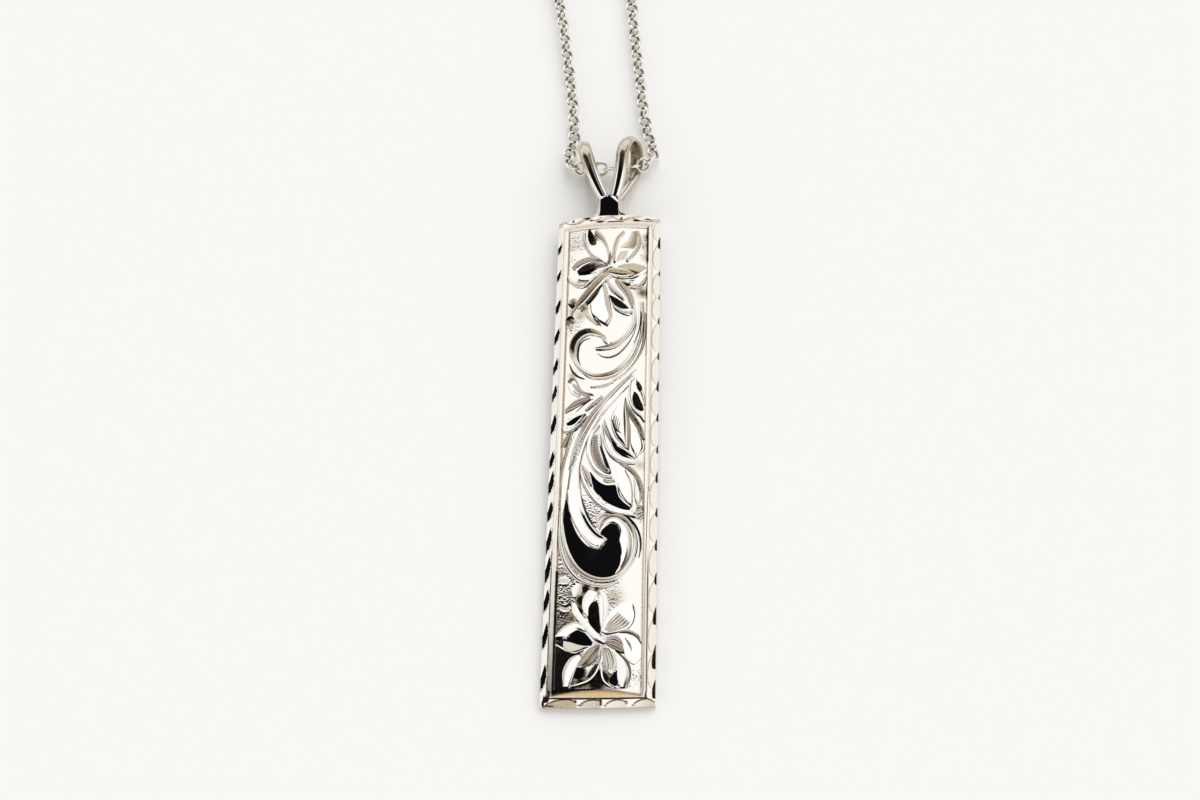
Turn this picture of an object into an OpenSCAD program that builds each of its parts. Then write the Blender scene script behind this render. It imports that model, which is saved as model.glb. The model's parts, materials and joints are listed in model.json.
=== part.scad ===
// Engraved bar pendant with a rabbit-ear bail on a cable chain, lying on a flat surface.
// Millimetres, +Z up. The origin is the bottom centre of the whole jewel's box.
// The bar's foot is nearest to -Y, and the chain's clasp is farthest along +Y.

/* [Bar] */
// Width of the bar
bar_w = 10; // [8:0.5:14]
// Length of the bar, from its foot to its top edge
bar_l = 48; // [46:0.5:50]
// Height of the upright side wall
wall_h = 0.65; // [0.5:0.05:1]
// Width of the sloping border
slope_w = 0.68; // [0.5:0.02:0.8]
// Rise of the sloping border above the side wall
slope_h = 0.45; // [0.3:0.05:0.6]
// Rise of the domed front, from its long borders to its middle
crown_h = 0.6; // [0.4:0.05:0.9]
// Width of the steeper face at each end, between the sloping border and the domed front
end_face_w = 0.5; // [0.4:0.05:0.7]
// Width of the raised rail around the engraved field
rail_w = 0.42; // [0.3:0.02:0.6]
// Depth of the field's ground below the rail and the relief
ground_drop = 0.25; // [0.15:0.05:0.35]
// Gap between the relief and the field's edge
relief_gap = 0.07; // [0.05:0.01:0.15]

/* [Border cuts] */
// Slanted cuts along each long border
long_cuts = 15; // [8:1:18]
// Slanted cuts along each short border
short_cuts = 3; // [2:1:4]
// Radius of the cutting wheel
cut_r = 1.3; // [1:0.1:2]
// Depth of each cut into the slope
cut_depth = 0.12; // [0.05:0.01:0.18]
// Slant of the cuts across the border, in degrees
cut_slant = 50; // [30:5:60]

/* [Bail] */
// Half of the angle between the two ears, in degrees
ear_spread = 18; // [14:1:22]
// Lean of the whole bail to the left, in degrees
bail_lean = 2; // [0:1:4]
// Distance from the crotch of the ears to the middle of their round tops
ear_reach = 6.6; // [6:0.1:7.5]
// Outer radius of an ear's round top, seen from the side
ear_r = 2.2; // [2:0.1:2.6]
// Thickness of the ear's strip
strip_t = 0.7; // [0.5:0.05:0.9]
// Width of the strip at the stem
strip_w_low = 1.16; // [1:0.02:1.3]
// Width of the strip at the top of the ear
strip_w_top = 1.6; // [1.3:0.05:1.9]
// Width of the stem below the ears
stem_w = 2.2; // [1.8:0.1:2.6]
// Width of the stem's flared foot on the bar's top edge
foot_w = 3.8; // [3:0.1:4.4]

/* [Chain] */
// Outer diameter of the cable chain
chain_d = 1.2; // [1:0.1:1.3]

/* [Clasp] */
// Middle radius of the spring ring
clasp_r = 2.3; // [2:0.1:2.6]
// Diameter of the spring ring's tube
clasp_tube = 1; // [0.8:0.1:1.1]
// Middle radius of the small eye on the spring ring
eye_r = 0.85; // [0.8:0.05:1]
// Middle radius of the plain ring at the chain's other end
end_ring_r = 1.4; // [1.3:0.05:1.6]
// Wire diameter of the eye and of the plain ring
ring_wire = 0.6; // [0.5:0.05:0.6]

/* [Hidden] */
$fn = 64;

// The middle of the jewel's box, seen from the middle of the bar's foot
box_middle = [-11.3, 127.4];

// Heights over the bar's flat back
rail_z = wall_h + slope_h;
crown_z = rail_z + crown_h;
flat_half = bar_w / 2 - slope_w;
dome_r = (flat_half * flat_half + crown_h * crown_h) / (2 * crown_h);
field_half = flat_half - rail_w;
field_low = slope_w + end_face_w + 0.1;
field_high = bar_l - field_low;
slope_angle = atan(slope_h / slope_w);
touch = 0.01;

// The ears of the bail: the crotch is where both ears start
crotch = [0.1, bar_l + 0.35];
ear_mid_z = 0.8;
ear_hole_r = ear_r - strip_t;
ear_hole_start = strip_t / sin(asin(ear_r / ear_reach));
ear_mid_y = crotch[1] + ear_reach * cos(ear_spread + bail_lean);
// The jewel rests on the bar's foot and on the backs of the two ears
tilt = asin((ear_r + touch) / norm([ear_mid_y, ear_mid_z])) - atan2(ear_mid_z, ear_mid_y);

// The chain lies on one side of its eight-sided tube
chain_sides = 8;
lie_z = chain_d / 2 * cos(180 / chain_sides);
// Route of the chain's middle from the clasp's eye round to the plain ring:
// [x, y, lift], seen from the bar's foot, lift over the height of a lying chain
chain_route = [
    [-21.8, 252, 0], [-27, 251, 0], [-34, 247, 0], [-42, 238, 0], [-48.5, 223, 0],
    [-51, 205, 0], [-50.5, 187, 0], [-46.5, 168, 0], [-38.5, 149, 0], [-28.5, 130, 0],
    [-18.5, 111, 0], [-10, 91, 0], [-6.2, 76, 0], [-5, 68, 0], [-4.2, 61, 0],
    [-4.1, 58.6, 0], [-4.4, 57.2, 0.1], [-4.4, 55.8, 0.45], [-3.7, 54.8, 0.9], [-2, 54.5, 1],
    [-0.1, 54.4, 1], [1.7, 54.5, 1], [3.3, 54.8, 0.9], [4, 55.9, 0.45], [4, 57.2, 0.1],
    [3.6, 58.6, 0], [3.2, 60.5, 0], [2.4, 67, 0], [1.5, 76, 0], [2, 90, 0],
    [6.5, 109, 0], [13, 128, 0], [20, 148, 0], [26, 168, 0], [28.5, 190, 0],
    [26, 212, 0], [18.5, 231, 0], [8.5, 243.5, 0], [-2.5, 250, 0], [-12.6, 252, 0.35]
];

// The clasp leans on the plain ring, which stands through it
clasp_at = [-17, 252];
eye_reach = clasp_r + clasp_tube / 2 + eye_r - 0.1;
clasp_low_z = ring_wire / 2;
clasp_high_z = ring_wire + clasp_tube / 2 + 0.2;
clasp_lean = asin((clasp_high_z - clasp_low_z) / (eye_reach + eye_r + clasp_r));
end_ring_lean = 65;
end_ring_shift = 0.1;
end_ring_z = end_ring_r * sin(end_ring_lean) + ring_wire / 2;

// Rows of the leaves and petals: [root x, root y, tip x, tip y, width, bow, fullest place 0..1]
// seen from the middle of the bar's foot; a bow above 0 bends the middle to the left
leaf_rows = [
    // flower at the top
    [-0.1, 42.9, -1.9, 46.6, 2.3, -0.2, 0.55],
    [0.6, 42.9, 2.4, 46.6, 2.3, 0.2, 0.55],
    [0.7, 42.1, 4, 41.7, 2.5, 0.1, 0.6],
    [0.2, 41.4, 2.6, 37.6, 2, 0.3, 0.55],
    [-0.4, 41.2, -0.3, 36.2, 2, 0.2, 0.6],
    [0.1, 42.2, -4, 41.8, 2.9, 0.1, 0.6],
    // leaves to the right of the stem
    [2.3, 30, 4, 26.6, 1.4, 0.1, 0.6],
    [1.9, 28.6, 3.9, 24.3, 1, 0.2, 0.6],
    [1.4, 28.8, 2.4, 23.2, 1.7, -0.1, 0.6],
    [0.1, 26.6, 3.2, 22.4, 1.3, -0.4, 0.65],
    [-0.4, 25.9, 0.9, 20.6, 1.7, -0.5, 0.6],
    [-1.6, 22.6, 3.1, 17.4, 2.8, -0.5, 0.5],
    [1.1, 22.3, 4.1, 17.4, 1.9, 0.7, 0.5],
    // leaves to the left of the stem
    [-1, 29.1, -3.4, 30.7, 0.9, 0.3, 0.6],
    [-1.2, 28.9, -3.7, 27.5, 0.8, -0.1, 0.6],
    [-1.4, 27.2, -3.9, 25.6, 1.4, 0.1, 0.65],
    [-2.9, 25.4, -3.8, 23.6, 0.7, 0, 0.5],
    // flower at the foot
    [0.2, 6, -0.1, 10.3, 2.2, 0.1, 0.6],
    [0.6, 6.1, 3, 9.1, 2.3, 0.2, 0.6],
    [0.8, 5.6, 4, 4.7, 3, 0.1, 0.6],
    [0.5, 5, 2.2, 1.1, 2.5, 0.2, 0.6],
    [0.4, 5.2, -2.7, 1.5, 2.5, -0.3, 0.55],
    [0, 5.4, -3.8, 5.9, 2.7, 0, 0.6]
];
// Rows of the buds: [x, y, radius]
bud_rows = [
    [-3.3, 39, 0.45], [-2.1, 38.1, 0.55], [-3.5, 36.9, 0.55],
    [-3.1, 11, 0.5], [-1.9, 10.2, 0.55], [-3, 8.6, 0.55]
];
// Rows of the stems that cross the flowers: [x, y, width]
top_stem = [[2.2, 41.6, 0.2], [1, 41.7, 0.8], [-0.4, 41.3, 0.75], [-1.6, 39.9, 0.75], [-2.9, 38.3, 0.6]];
low_stem = [[0.7, 5.2, 0.3], [-0.1, 6, 0.6], [-1.2, 7.3, 0.7], [-2.4, 9, 0.5]];
// Outline of the upper scroll, round its outer sweep and back along its hook
upper_scroll = [
    [3.6, 38.6], [3.8, 36.2], [3.4, 34], [2.3, 32.2], [0.9, 31.1], [-0.6, 30.7],
    [-2.1, 31.3], [-3.2, 32.7], [-3.4, 34.3], [-2.7, 35.6], [-1.6, 36], [-0.5, 35.6],
    [0.3, 34.7], [0.3, 34.2], [1, 34.3], [1.9, 35.1], [2.5, 36.4], [2.7, 38.6]
];
// Outline of the main stem and the lower scroll that it ends in
lower_scroll = [
    [3, 31.5], [1.3, 29.8], [0, 28.4], [-1.4, 26.8], [-2.5, 25], [-3.3, 23],
    [-3.8, 21], [-3.95, 18.5], [-3.9, 16], [-3.5, 14], [-2.8, 12.4], [-1.4, 11.1],
    [0.4, 10.6], [2, 11.2], [3.1, 12.6], [3.6, 14.4], [3.2, 16.1], [2.2, 17.1],
    [0.9, 17.2], [-0.2, 16.8], [-0.5, 16.1], [-1.1, 17.3], [-1.7, 19], [-2, 21],
    [-2.2, 22.5], [-1.8, 24.2], [-1, 26], [0.7, 28.2], [2.9, 30.9]
];

// A point at t (0..1) on the smooth curve from b to c, which passes through a, b, c and d
function blend(a, b, c, d, t) =
    (2 * b + (c - a) * t + (2 * a - 5 * b + 4 * c - d) * t * t
    + (3 * b - a - 3 * c + d) * t * t * t) / 2;
// An open smooth line through the points, with some steps to each stretch
function smooth_line(pts, steps) = [
    for (i = [0:len(pts) - 2], k = [0:steps - 1])
        blend(pts[max(i - 1, 0)], pts[i], pts[i + 1], pts[min(i + 2, len(pts) - 1)], k / steps),
    pts[len(pts) - 1]
];
// A closed smooth outline through the points
function smooth_ring(pts, steps) = let (n = len(pts)) [
    for (i = [0:n - 1], k = [0:steps - 1])
        blend(pts[(i + n - 1) % n], pts[i], pts[(i + 1) % n], pts[(i + 2) % n], k / steps)
];
function unit(v) = v / norm(v);
function left_of(v) = [-v[1], v[0]];
function direction(pts, i) = unit(pts[min(i + 1, len(pts) - 1)] - pts[max(i - 1, 0)]);

// Places what is modelled on the bar's flat back: x across, y up from the foot
module with_bar() {
    translate([-box_middle[0], -box_middle[1], 0]) rotate([tilt, 0, 0]) children();
}

// Places what is modelled on the surface that the jewel lies on
module on_surface() {
    translate([-box_middle[0], -box_middle[1], 0]) children();
}

// Everything under the domed front, lowered by drop
module under_dome(drop) {
    translate([0, -1, crown_z - drop - dome_r]) rotate([-90, 0, 0])
        cylinder(r = dome_r, h = bar_l + 2, $fn = 360);
}

// What is cut off above a border that runs along x: the slope, and inside it a steeper face
module slope_cutter(length, face_w, face_h) {
    steps = [slope_w + face_w, rail_z + face_h];
    translate([-length / 2, 0, 0]) rotate([90, 0, 90]) linear_extrude(length) polygon([
        [-slope_w, wall_h - slope_h], [slope_w, rail_z], steps,
        2 * steps - [slope_w, rail_z], [slope_w, 3 * crown_z], [-slope_w, 3 * crown_z]
    ]);
}

// Slanted wheel cuts in a row along a border that runs along x
module border_cuts(length, count, slant) {
    pitch = length / count;
    for (i = [0:count - 1])
        translate([-length / 2 + (i + 0.5) * pitch, 0, wall_h])
            rotate([slope_angle, 0, 0])
                translate([0, 0, cut_r - cut_depth]) rotate([0, 0, slant]) rotate([-90, 0, 0])
                    translate([0, 0, -0.15]) cylinder(r = cut_r, h = 1.3, center = true, $fn = 48);
}

module long_borders() {
    for (side = [0, 1])
        mirror([side, 0, 0]) translate([bar_w / 2, bar_l / 2, 0]) rotate([0, 0, 90]) children();
}

module short_borders() {
    children();
    translate([0, bar_l, 0]) rotate([0, 0, 180]) children();
}

// A leaf: an arc from root to tip, as wide as a sine that is fullest where the row says
module leaf(row) {
    root = [row[0], row[1]];
    tip = [row[2], row[3]];
    along = unit(tip - root);
    steps = 10;
    power = ln(0.5) / ln(row[6]);
    middle = [
        for (k = [0:steps]) let (t = k / steps)
            root + (tip - root) * t + left_of(along) * row[5] * sin(180 * t)
    ];
    half = [for (k = [0:steps]) row[4] / 2 * pow(sin(180 * pow(k / steps, power)), 0.8)];
    polygon(concat(
        [for (k = [0:steps]) middle[k] + left_of(along) * half[k]],
        [for (k = [steps - 1:-1:1]) middle[k] - left_of(along) * half[k]]
    ));
}

// A stem: a band through the rows' places, as wide as the rows say
module band(rows) {
    line = smooth_line(rows, 3);
    way = [for (p = line) [p[0], p[1]]];
    last = len(line) - 1;
    polygon(concat(
        [for (i = [0:last]) way[i] + left_of(direction(way, i)) * line[i][2] / 2],
        [for (i = [last:-1:0]) way[i] - left_of(direction(way, i)) * line[i][2] / 2]
    ));
}

// The raised plumeria, scroll and leaf outlines, seen from the front
module relief_outline() {
    intersection() {
        union() {
            for (row = leaf_rows) leaf(row);
            for (row = bud_rows) translate([row[0], row[1]]) circle(r = row[2], $fn = 12);
            band(top_stem);
            band(low_stem);
            polygon(smooth_ring(upper_scroll, 3));
            polygon(smooth_ring(lower_scroll, 3));
        }
        translate([-field_half + relief_gap, field_low + relief_gap])
            square([2 * (field_half - relief_gap), field_high - field_low - 2 * relief_gap]);
    }
}

// The bar: a flat back, sloping borders, a domed front with a sunk field, and the relief
module bar() {
    difference() {
        intersection() {
            translate([-bar_w / 2, 0, 0]) cube([bar_w, bar_l, crown_z + 1]);
            under_dome(0);
        }
        long_borders() slope_cutter(bar_l + 2, slope_h, crown_h);
        short_borders() slope_cutter(bar_w + 2, end_face_w, crown_h);
        long_borders() border_cuts(bar_l - 1.6, long_cuts, cut_slant);
        short_borders() border_cuts(bar_w - 2, short_cuts, -cut_slant);
        difference() {
            translate([-field_half, field_low, 0])
                cube([2 * field_half, field_high - field_low, crown_z + 1]);
            under_dome(ground_drop);
        }
    }
    intersection() {
        translate([0, 0, wall_h]) linear_extrude(crown_z) relief_outline();
        under_dome(0);
    }
}

// A teardrop seen from the side: a round end of radius r, and flanks that meet at start
module teardrop(start, r) {
    reach = ear_reach - start;
    half_angle = asin(r / reach);
    translate([ear_reach, 0]) circle(r = r);
    polygon([
        [start, 0],
        [ear_reach - r * sin(half_angle), -r * cos(half_angle)],
        [ear_reach - r * sin(half_angle), r * cos(half_angle)]
    ]);
}

// One ear: a strip bent into a teardrop loop, wider and rounded at its top
module ear() {
    top = ear_reach + ear_r;
    intersection() {
        translate([-strip_w_top, 0, ear_mid_z]) rotate([90, 0, 90])
            linear_extrude(2 * strip_w_top) difference() {
                teardrop(0, ear_r);
                teardrop(ear_hole_start, ear_hole_r);
            }
        translate([0, 0, ear_mid_z - ear_r - 1]) linear_extrude(2 * ear_r + 2) union() {
            polygon([
                [-strip_w_low / 2, 0], [strip_w_low / 2, 0], [strip_w_top / 2, ear_reach],
                [strip_w_top / 2, top - 0.9], [0.5, top - 0.2], [0, top],
                [-0.5, top - 0.2], [-strip_w_top / 2, top - 0.9], [-strip_w_top / 2, ear_reach]
            ]);
        }
    }
}

// The stem that both ears grow from, with its foot on the bar's top edge
module stem() {
    base_y = bar_l - 0.8;
    intersection() {
        linear_extrude(ear_mid_z + 1) polygon([
            [-foot_w / 2, base_y], [foot_w / 2, base_y], [foot_w / 2, bar_l],
            [stem_w / 2 + 0.25, bar_l + 0.4], [stem_w / 2, bar_l + 1],
            [stem_w / 2, bar_l + 1.9], [0.1, bar_l + 1.9], [-stem_w / 2, bar_l + 1.9],
            [-stem_w / 2, bar_l + 1], [-stem_w / 2 - 0.25, bar_l + 0.4], [-foot_w / 2, bar_l]
        ]);
        translate([-foot_w, 0, 0]) rotate([90, 0, 90]) linear_extrude(2 * foot_w) polygon([
            [base_y, 0.1], [bar_l + 1.9, 0.1], [bar_l + 1.9, ear_mid_z + 0.55],
            [bar_l + 0.4, ear_mid_z + 0.1], [base_y, ear_mid_z]
        ]);
    }
}

// The bar with its soldered bail: one solid
module bar_pendant() {
    color("silver") with_bar() {
        bar();
        stem();
        for (turn = [bail_lean + ear_spread, bail_lean - ear_spread])
            translate([crotch[0], crotch[1], 0]) rotate([0, 0, turn]) ear();
    }
}

// The whole chain as one tube, with flat ends at the clasp and at the plain ring
module chain() {
    line = [for (p = smooth_line(chain_route, 2)) [p[0], p[1], lie_z + max(p[2], 0)]];
    last = len(line) - 1;
    rings = [
        for (i = [0:last])
            let (along = direction(line, i), side = unit(cross(along, [0, 0, 1])), up = cross(side, along))
                [for (k = [0:chain_sides - 1]) let (a = 360 / chain_sides * (k + 0.5))
                    line[i] + chain_d / 2 * (cos(a) * side + sin(a) * up)]
    ];
    points = [for (ring = rings) for (p = ring) p];
    walls = [
        for (i = [0:last - 1], k = [0:chain_sides - 1])
            let (next = (k + 1) % chain_sides, low = i * chain_sides, high = low + chain_sides)
                [low + k, high + k, high + next, low + next]
    ];
    start_cap = [for (k = [0:chain_sides - 1]) k];
    end_cap = [for (k = [chain_sides - 1:-1:0]) last * chain_sides + k];
    color("gainsboro") on_surface()
        polyhedron(points = points, faces = concat(walls, [start_cap, end_cap]), convexity = 6);
}

// A round ring of round wire, lying flat about the origin
module wire_ring(middle_r, wire_d) {
    rotate_extrude() translate([middle_r, 0]) circle(d = wire_d, $fn = 32);
}

// The spring ring with its eye and its thumb piece, one plain piece
module clasp() {
    color("silver") on_surface()
        translate([clasp_at[0] + clasp_r, clasp_at[1], clasp_high_z]) rotate([0, -clasp_lean, 0])
            translate([-clasp_r, 0, 0]) {
                wire_ring(clasp_r, clasp_tube);
                translate([-eye_reach, 0, 0]) wire_ring(eye_r, ring_wire);
                rotate([0, 0, 125]) translate([clasp_r + clasp_tube / 2 - 0.2, 0, 0]) rotate([0, 90, 0])
                    cylinder(d = 0.5, h = 0.9, $fn = 32);
            }
}

// The plain ring at the chain's end, standing through the spring ring
module clasp_ring() {
    color("silver") on_surface()
        translate([clasp_at[0] + clasp_r + end_ring_shift, clasp_at[1], end_ring_z])
            rotate([end_ring_lean, 0, 0]) wire_ring(end_ring_r, ring_wire);
}

bar_pendant();
chain();
clasp();
clasp_ring();
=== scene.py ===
import json
import math
from functools import partial
import bpy
import numpy as np
from mathutils import Matrix


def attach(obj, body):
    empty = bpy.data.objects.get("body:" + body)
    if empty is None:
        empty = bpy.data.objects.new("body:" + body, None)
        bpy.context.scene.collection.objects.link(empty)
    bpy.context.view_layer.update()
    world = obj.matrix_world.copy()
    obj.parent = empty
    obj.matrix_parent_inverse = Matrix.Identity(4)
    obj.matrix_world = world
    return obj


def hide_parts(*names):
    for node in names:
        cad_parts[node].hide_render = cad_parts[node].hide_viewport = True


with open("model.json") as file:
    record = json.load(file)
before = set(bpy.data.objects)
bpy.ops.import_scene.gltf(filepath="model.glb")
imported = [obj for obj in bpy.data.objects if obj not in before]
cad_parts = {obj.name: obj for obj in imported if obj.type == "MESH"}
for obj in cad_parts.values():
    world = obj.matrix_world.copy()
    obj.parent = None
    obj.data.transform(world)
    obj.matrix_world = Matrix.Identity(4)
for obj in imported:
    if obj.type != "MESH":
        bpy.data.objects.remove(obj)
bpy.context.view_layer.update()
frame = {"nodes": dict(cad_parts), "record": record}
print("frame loaded")

# Plate coordinates are millimetres seen from the middle of the bar's foot on its flat back:
# x across, y up to the bail, z out of the engraved front. The bar_back mount says where they lie.
backMount = next(m for m in frame["record"]["mounts"] if m["name"] == "bar_back")
plateUp = -np.array(backMount["axis"])
plateUp /= np.linalg.norm(plateUp)
plateAcross = np.array([1.0, 0.0, 0.0])
plateAlong = np.cross(plateUp, plateAcross)
backMiddleY = 24.0
plateOrigin = np.array(backMount["pos_m"]) * 1000 - backMiddleY * plateAlong
plateAxes = np.array([plateAcross, plateAlong, plateUp])


def fromPlate(points):
    # plate millimetres to metres in the frame
    return (np.asarray(points, float) @ plateAxes + plateOrigin) / 1000


def fromTable(points):
    # millimetres on the table, x and y from the bar's foot and z from the table, to metres in the frame
    return (np.asarray(points, float) + [plateOrigin[0], plateOrigin[1], 0]) / 1000


# Curves and interpolation

def smoothValues(knots, values, at):
    # cubic through (knot, value) rows, whose slope at a knot is the chord between its two neighbours
    knots, values, at = np.asarray(knots, float), np.asarray(values, float), np.asarray(at, float)
    slopes = np.gradient(values, knots)
    i = np.clip(np.searchsorted(knots, at, side="right") - 1, 0, len(knots) - 2)
    step = knots[i + 1] - knots[i]
    t = (at - knots[i]) / step
    rest = 1 - t
    return (values[i] * (1 + 2 * t) * rest ** 2 + values[i + 1] * (3 - 2 * t) * t ** 2
            + step * (slopes[i] * t * rest ** 2 - slopes[i + 1] * rest * t ** 2))


def evenValues(values, at):
    # the same cubic through values that are evenly spaced from 0 to 1; one value stays as it is
    values = np.atleast_1d(values)
    if len(values) == 1:
        values = np.repeat(values, 2)
    return smoothValues(np.linspace(0, 1, len(values)), values, at)


def smoothLine(points, at):
    # the cubic through points, where at runs from 0 to 1 along the straight distance between them
    points = np.asarray(points, float)
    reach = np.concatenate([[0], np.cumsum(np.linalg.norm(np.diff(points, axis=0), axis=1))])
    reach /= reach[-1]
    return np.stack([smoothValues(reach, column, at) for column in points.T], axis=-1)


def evenLine(points, count):
    # count points, the same length apart, on the smooth line through points, and the line's length
    dense = smoothLine(points, np.linspace(0, 1, 60 * len(points)))
    reach = np.concatenate([[0], np.cumsum(np.linalg.norm(np.diff(dense, axis=0), axis=1))])
    at = np.linspace(0, reach[-1], count)
    return np.stack([np.interp(at, reach, column) for column in dense.T], axis=-1), reach[-1]


def unit(rows):
    # each row as a direction of length 1
    return rows / np.linalg.norm(rows, axis=1)[:, None]


def leftOf(way):
    # directions in the plane turned a quarter to the left
    return np.stack([-way[:, 1], way[:, 0]], -1)


# Meshes

def gridQuads(rows, columns, closedRows=False, closedColumns=False):
    # faces of a grid whose point (row, column) is row * columns + column
    r = np.arange(rows if closedRows else rows - 1)[:, None]
    c = np.arange(columns if closedColumns else columns - 1)[None, :]
    r2, c2 = (r + 1) % rows, (c + 1) % columns
    corners = [r * columns + c, r * columns + c2, r2 * columns + c2, r2 * columns + c]
    return np.stack([np.broadcast_to(k, (r.size, c.size)) for k in corners], -1).reshape(-1, 4)


def closedTube(points, tone, flip=False):
    # a grid closed from its last column to its first, with its first and last rows filled; flip turns
    # its faces the other way; gives a shape: points, face groups and tone
    rows, columns = points.shape[:2]
    ends = [np.arange(columns)[None, ::-1], (rows - 1) * columns + np.arange(columns)[None, :]]
    groups = [gridQuads(rows, columns, closedColumns=True), *ends]
    if flip:
        groups = [group[:, ::-1] for group in groups]
    return points.reshape(-1, 3), groups, tone.ravel()


def setAttribute(mesh, label, values):
    # a number at each point, for the materials to read
    mesh.attributes.new(label, "FLOAT", "POINT").data.foreach_set("value", np.asarray(values, np.float32))


def buildPiece(name, points, faceGroups, material, tone, sharpAngle):
    # one mesh object from points in metres and groups of faces that have the same number of corners
    mesh = bpy.data.meshes.new(name)
    corners = np.concatenate([g.ravel() for g in faceGroups]).astype(np.int32)
    sizes = np.concatenate([np.full(len(g), g.shape[1]) for g in faceGroups])
    starts = np.concatenate([[0], np.cumsum(sizes)[:-1]]).astype(np.int32)
    mesh.vertices.add(len(points))
    mesh.vertices.foreach_set("co", np.asarray(points, np.float32).ravel())
    mesh.loops.add(len(corners))
    mesh.loops.foreach_set("vertex_index", corners)
    mesh.polygons.add(len(sizes))
    mesh.polygons.foreach_set("loop_start", starts)
    mesh.update(calc_edges=True)
    mesh.validate()
    mesh.polygons.foreach_set("use_smooth", np.ones(len(mesh.polygons), bool))
    mesh.set_sharp_from_angle(angle=math.radians(sharpAngle))
    setAttribute(mesh, "tone", tone)
    piece = bpy.data.objects.new(name, mesh)
    bpy.context.scene.collection.objects.link(piece)
    mesh.materials.append(material)
    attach(piece, "root")
    return piece


def platePiece(name, shapes, material, sharpAngle):
    # one piece of several shapes in plate coordinates, with the faces counted on
    points, groups, tones, start = [], [], [], 0
    for shapePoints, shapeGroups, shapeTone in shapes:
        points.append(shapePoints)
        tones.append(shapeTone)
        groups += [group + start for group in shapeGroups]
        start += len(shapePoints)
    points = fromPlate(np.concatenate(points))
    return buildPiece(name, points, groups, material, np.concatenate(tones), sharpAngle)


# Materials

silverLook = {
    "polished": (0.97, 0.955, 0.925),
    # the satins are satin silver whose darker, warmer colours are painted reflection and shade
    "rosySatinShade": (0.47, 0.36, 0.285),
    "goldSatinShade": (0.5, 0.42, 0.255),
    "paleSatinShade": (0.58, 0.53, 0.41),  # the chain
    "bailSatinShade": (0.5, 0.415, 0.28),  # the bail
    "warmSatinShade": (0.51, 0.41, 0.275),  # the rails and borders
    # a painted near-black that stands in for dark reflections and for shade in hollows
    "dark": (0.014, 0.012, 0.01),
    "polishedRoughness": 0.045, "satinRoughness": 0.3,
    "grainSize": 9000, "patchSize": 300,
    "rippleSize": 1500, "rippleStrength": 0.25, "rippleDepth": 0.000006,
    "stippleSize": 5200, "stippleDepth": 0.00005,
    "claspTone": 0.3,
}


def addNode(tree, kind, inputs=(), **settings):
    # a node with its settings; each input is given a value or linked to a socket
    node = tree.nodes.new("ShaderNode" + kind)
    for setting, value in settings.items():
        setattr(node, setting, value)
    for label, value in dict(inputs).items():
        if isinstance(value, bpy.types.NodeSocket):
            tree.links.new(value, node.inputs[label])
        else:
            node.inputs[label].default_value = value
    return node


def mixColours(tree, share, first, second):
    # first where share is 0 and second where it is 1, each a colour or a socket
    mix = addNode(tree, "Mix", {"Factor": share, "A": first, "B": second}, data_type="RGBA")
    return mix.outputs["Result"]


def multiply(tree, first, second):
    # the product of two sockets
    return addNode(tree, "Math", {0: first, 1: second}, operation="MULTIPLY").outputs[0]


def silverFinishAndShadeGroup():
    # tone 0 is mirror polish, 1 the satin of a cut's flank, whose darker warm colour is painted reflection
    # and shade, and 2 a painted near-black that stands in for dark reflections and the shade of recesses;
    # grain breaks all up a little
    group = bpy.data.node_groups.new("silverFinishAndShade", "ShaderNodeTree")
    for label, kind, value in (
            ("Tone", "Float", 0.0), ("Grain Size", "Float", silverLook["grainSize"]),
            ("Polished", "Color", (*silverLook["polished"], 1)),
            ("Rosy Satin Shade", "Color", (*silverLook["rosySatinShade"], 1)),
            ("Gold Satin Shade", "Color", (*silverLook["goldSatinShade"], 1)),
            ("Dark", "Color", (*silverLook["dark"], 1))):
        socket = group.interface.new_socket(label, in_out="INPUT", socket_type="NodeSocket" + kind)
        socket.default_value = value
    for label, kind in (("Color", "Color"), ("Roughness", "Float")):
        group.interface.new_socket(label, in_out="OUTPUT", socket_type="NodeSocket" + kind)
    given = group.nodes.new("NodeGroupInput").outputs
    made = group.nodes.new("NodeGroupOutput").inputs
    place = addNode(group, "TexCoord").outputs["Object"]
    grain = addNode(group, "TexNoise", {"Vector": place, "Scale": given["Grain Size"], "Detail": 3})
    spread = addNode(group, "MapRange", {"Value": grain.outputs["Fac"], "From Min": 0.3, "From Max": 0.7,
                                         "To Min": 0.75, "To Max": 1.15})
    toned = multiply(group, given["Tone"], spread.outputs["Result"])
    mask = addNode(group, "Clamp", {"Value": toned}).outputs[0]
    # beyond 1 the tone mixes in the painted near-black of dark reflections and shade
    darkening = addNode(group, "MapRange", {"Value": toned, "From Min": 1, "From Max": 1.6})
    patches = addNode(group, "TexNoise", {"Vector": place, "Scale": silverLook["patchSize"], "Detail": 1})
    hue = addNode(group, "MapRange", {"Value": patches.outputs["Fac"], "From Min": 0.4, "From Max": 0.6})
    # the satin colour, painted warm reflection and shade, wanders between its two hues at random
    satinShade = mixColours(group, hue.outputs["Result"], given["Rosy Satin Shade"], given["Gold Satin Shade"])
    brushed = mixColours(group, mask, given["Polished"], satinShade)
    colour = mixColours(group, darkening.outputs["Result"], brushed, given["Dark"])
    rough = addNode(group, "MapRange", {"Value": mask, "To Min": silverLook["polishedRoughness"],
                                        "To Max": silverLook["satinRoughness"]})
    group.links.new(colour, made["Color"])
    group.links.new(rough.outputs["Result"], made["Roughness"])
    return group


silverFinishAndShade = silverFinishAndShadeGroup()


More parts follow.
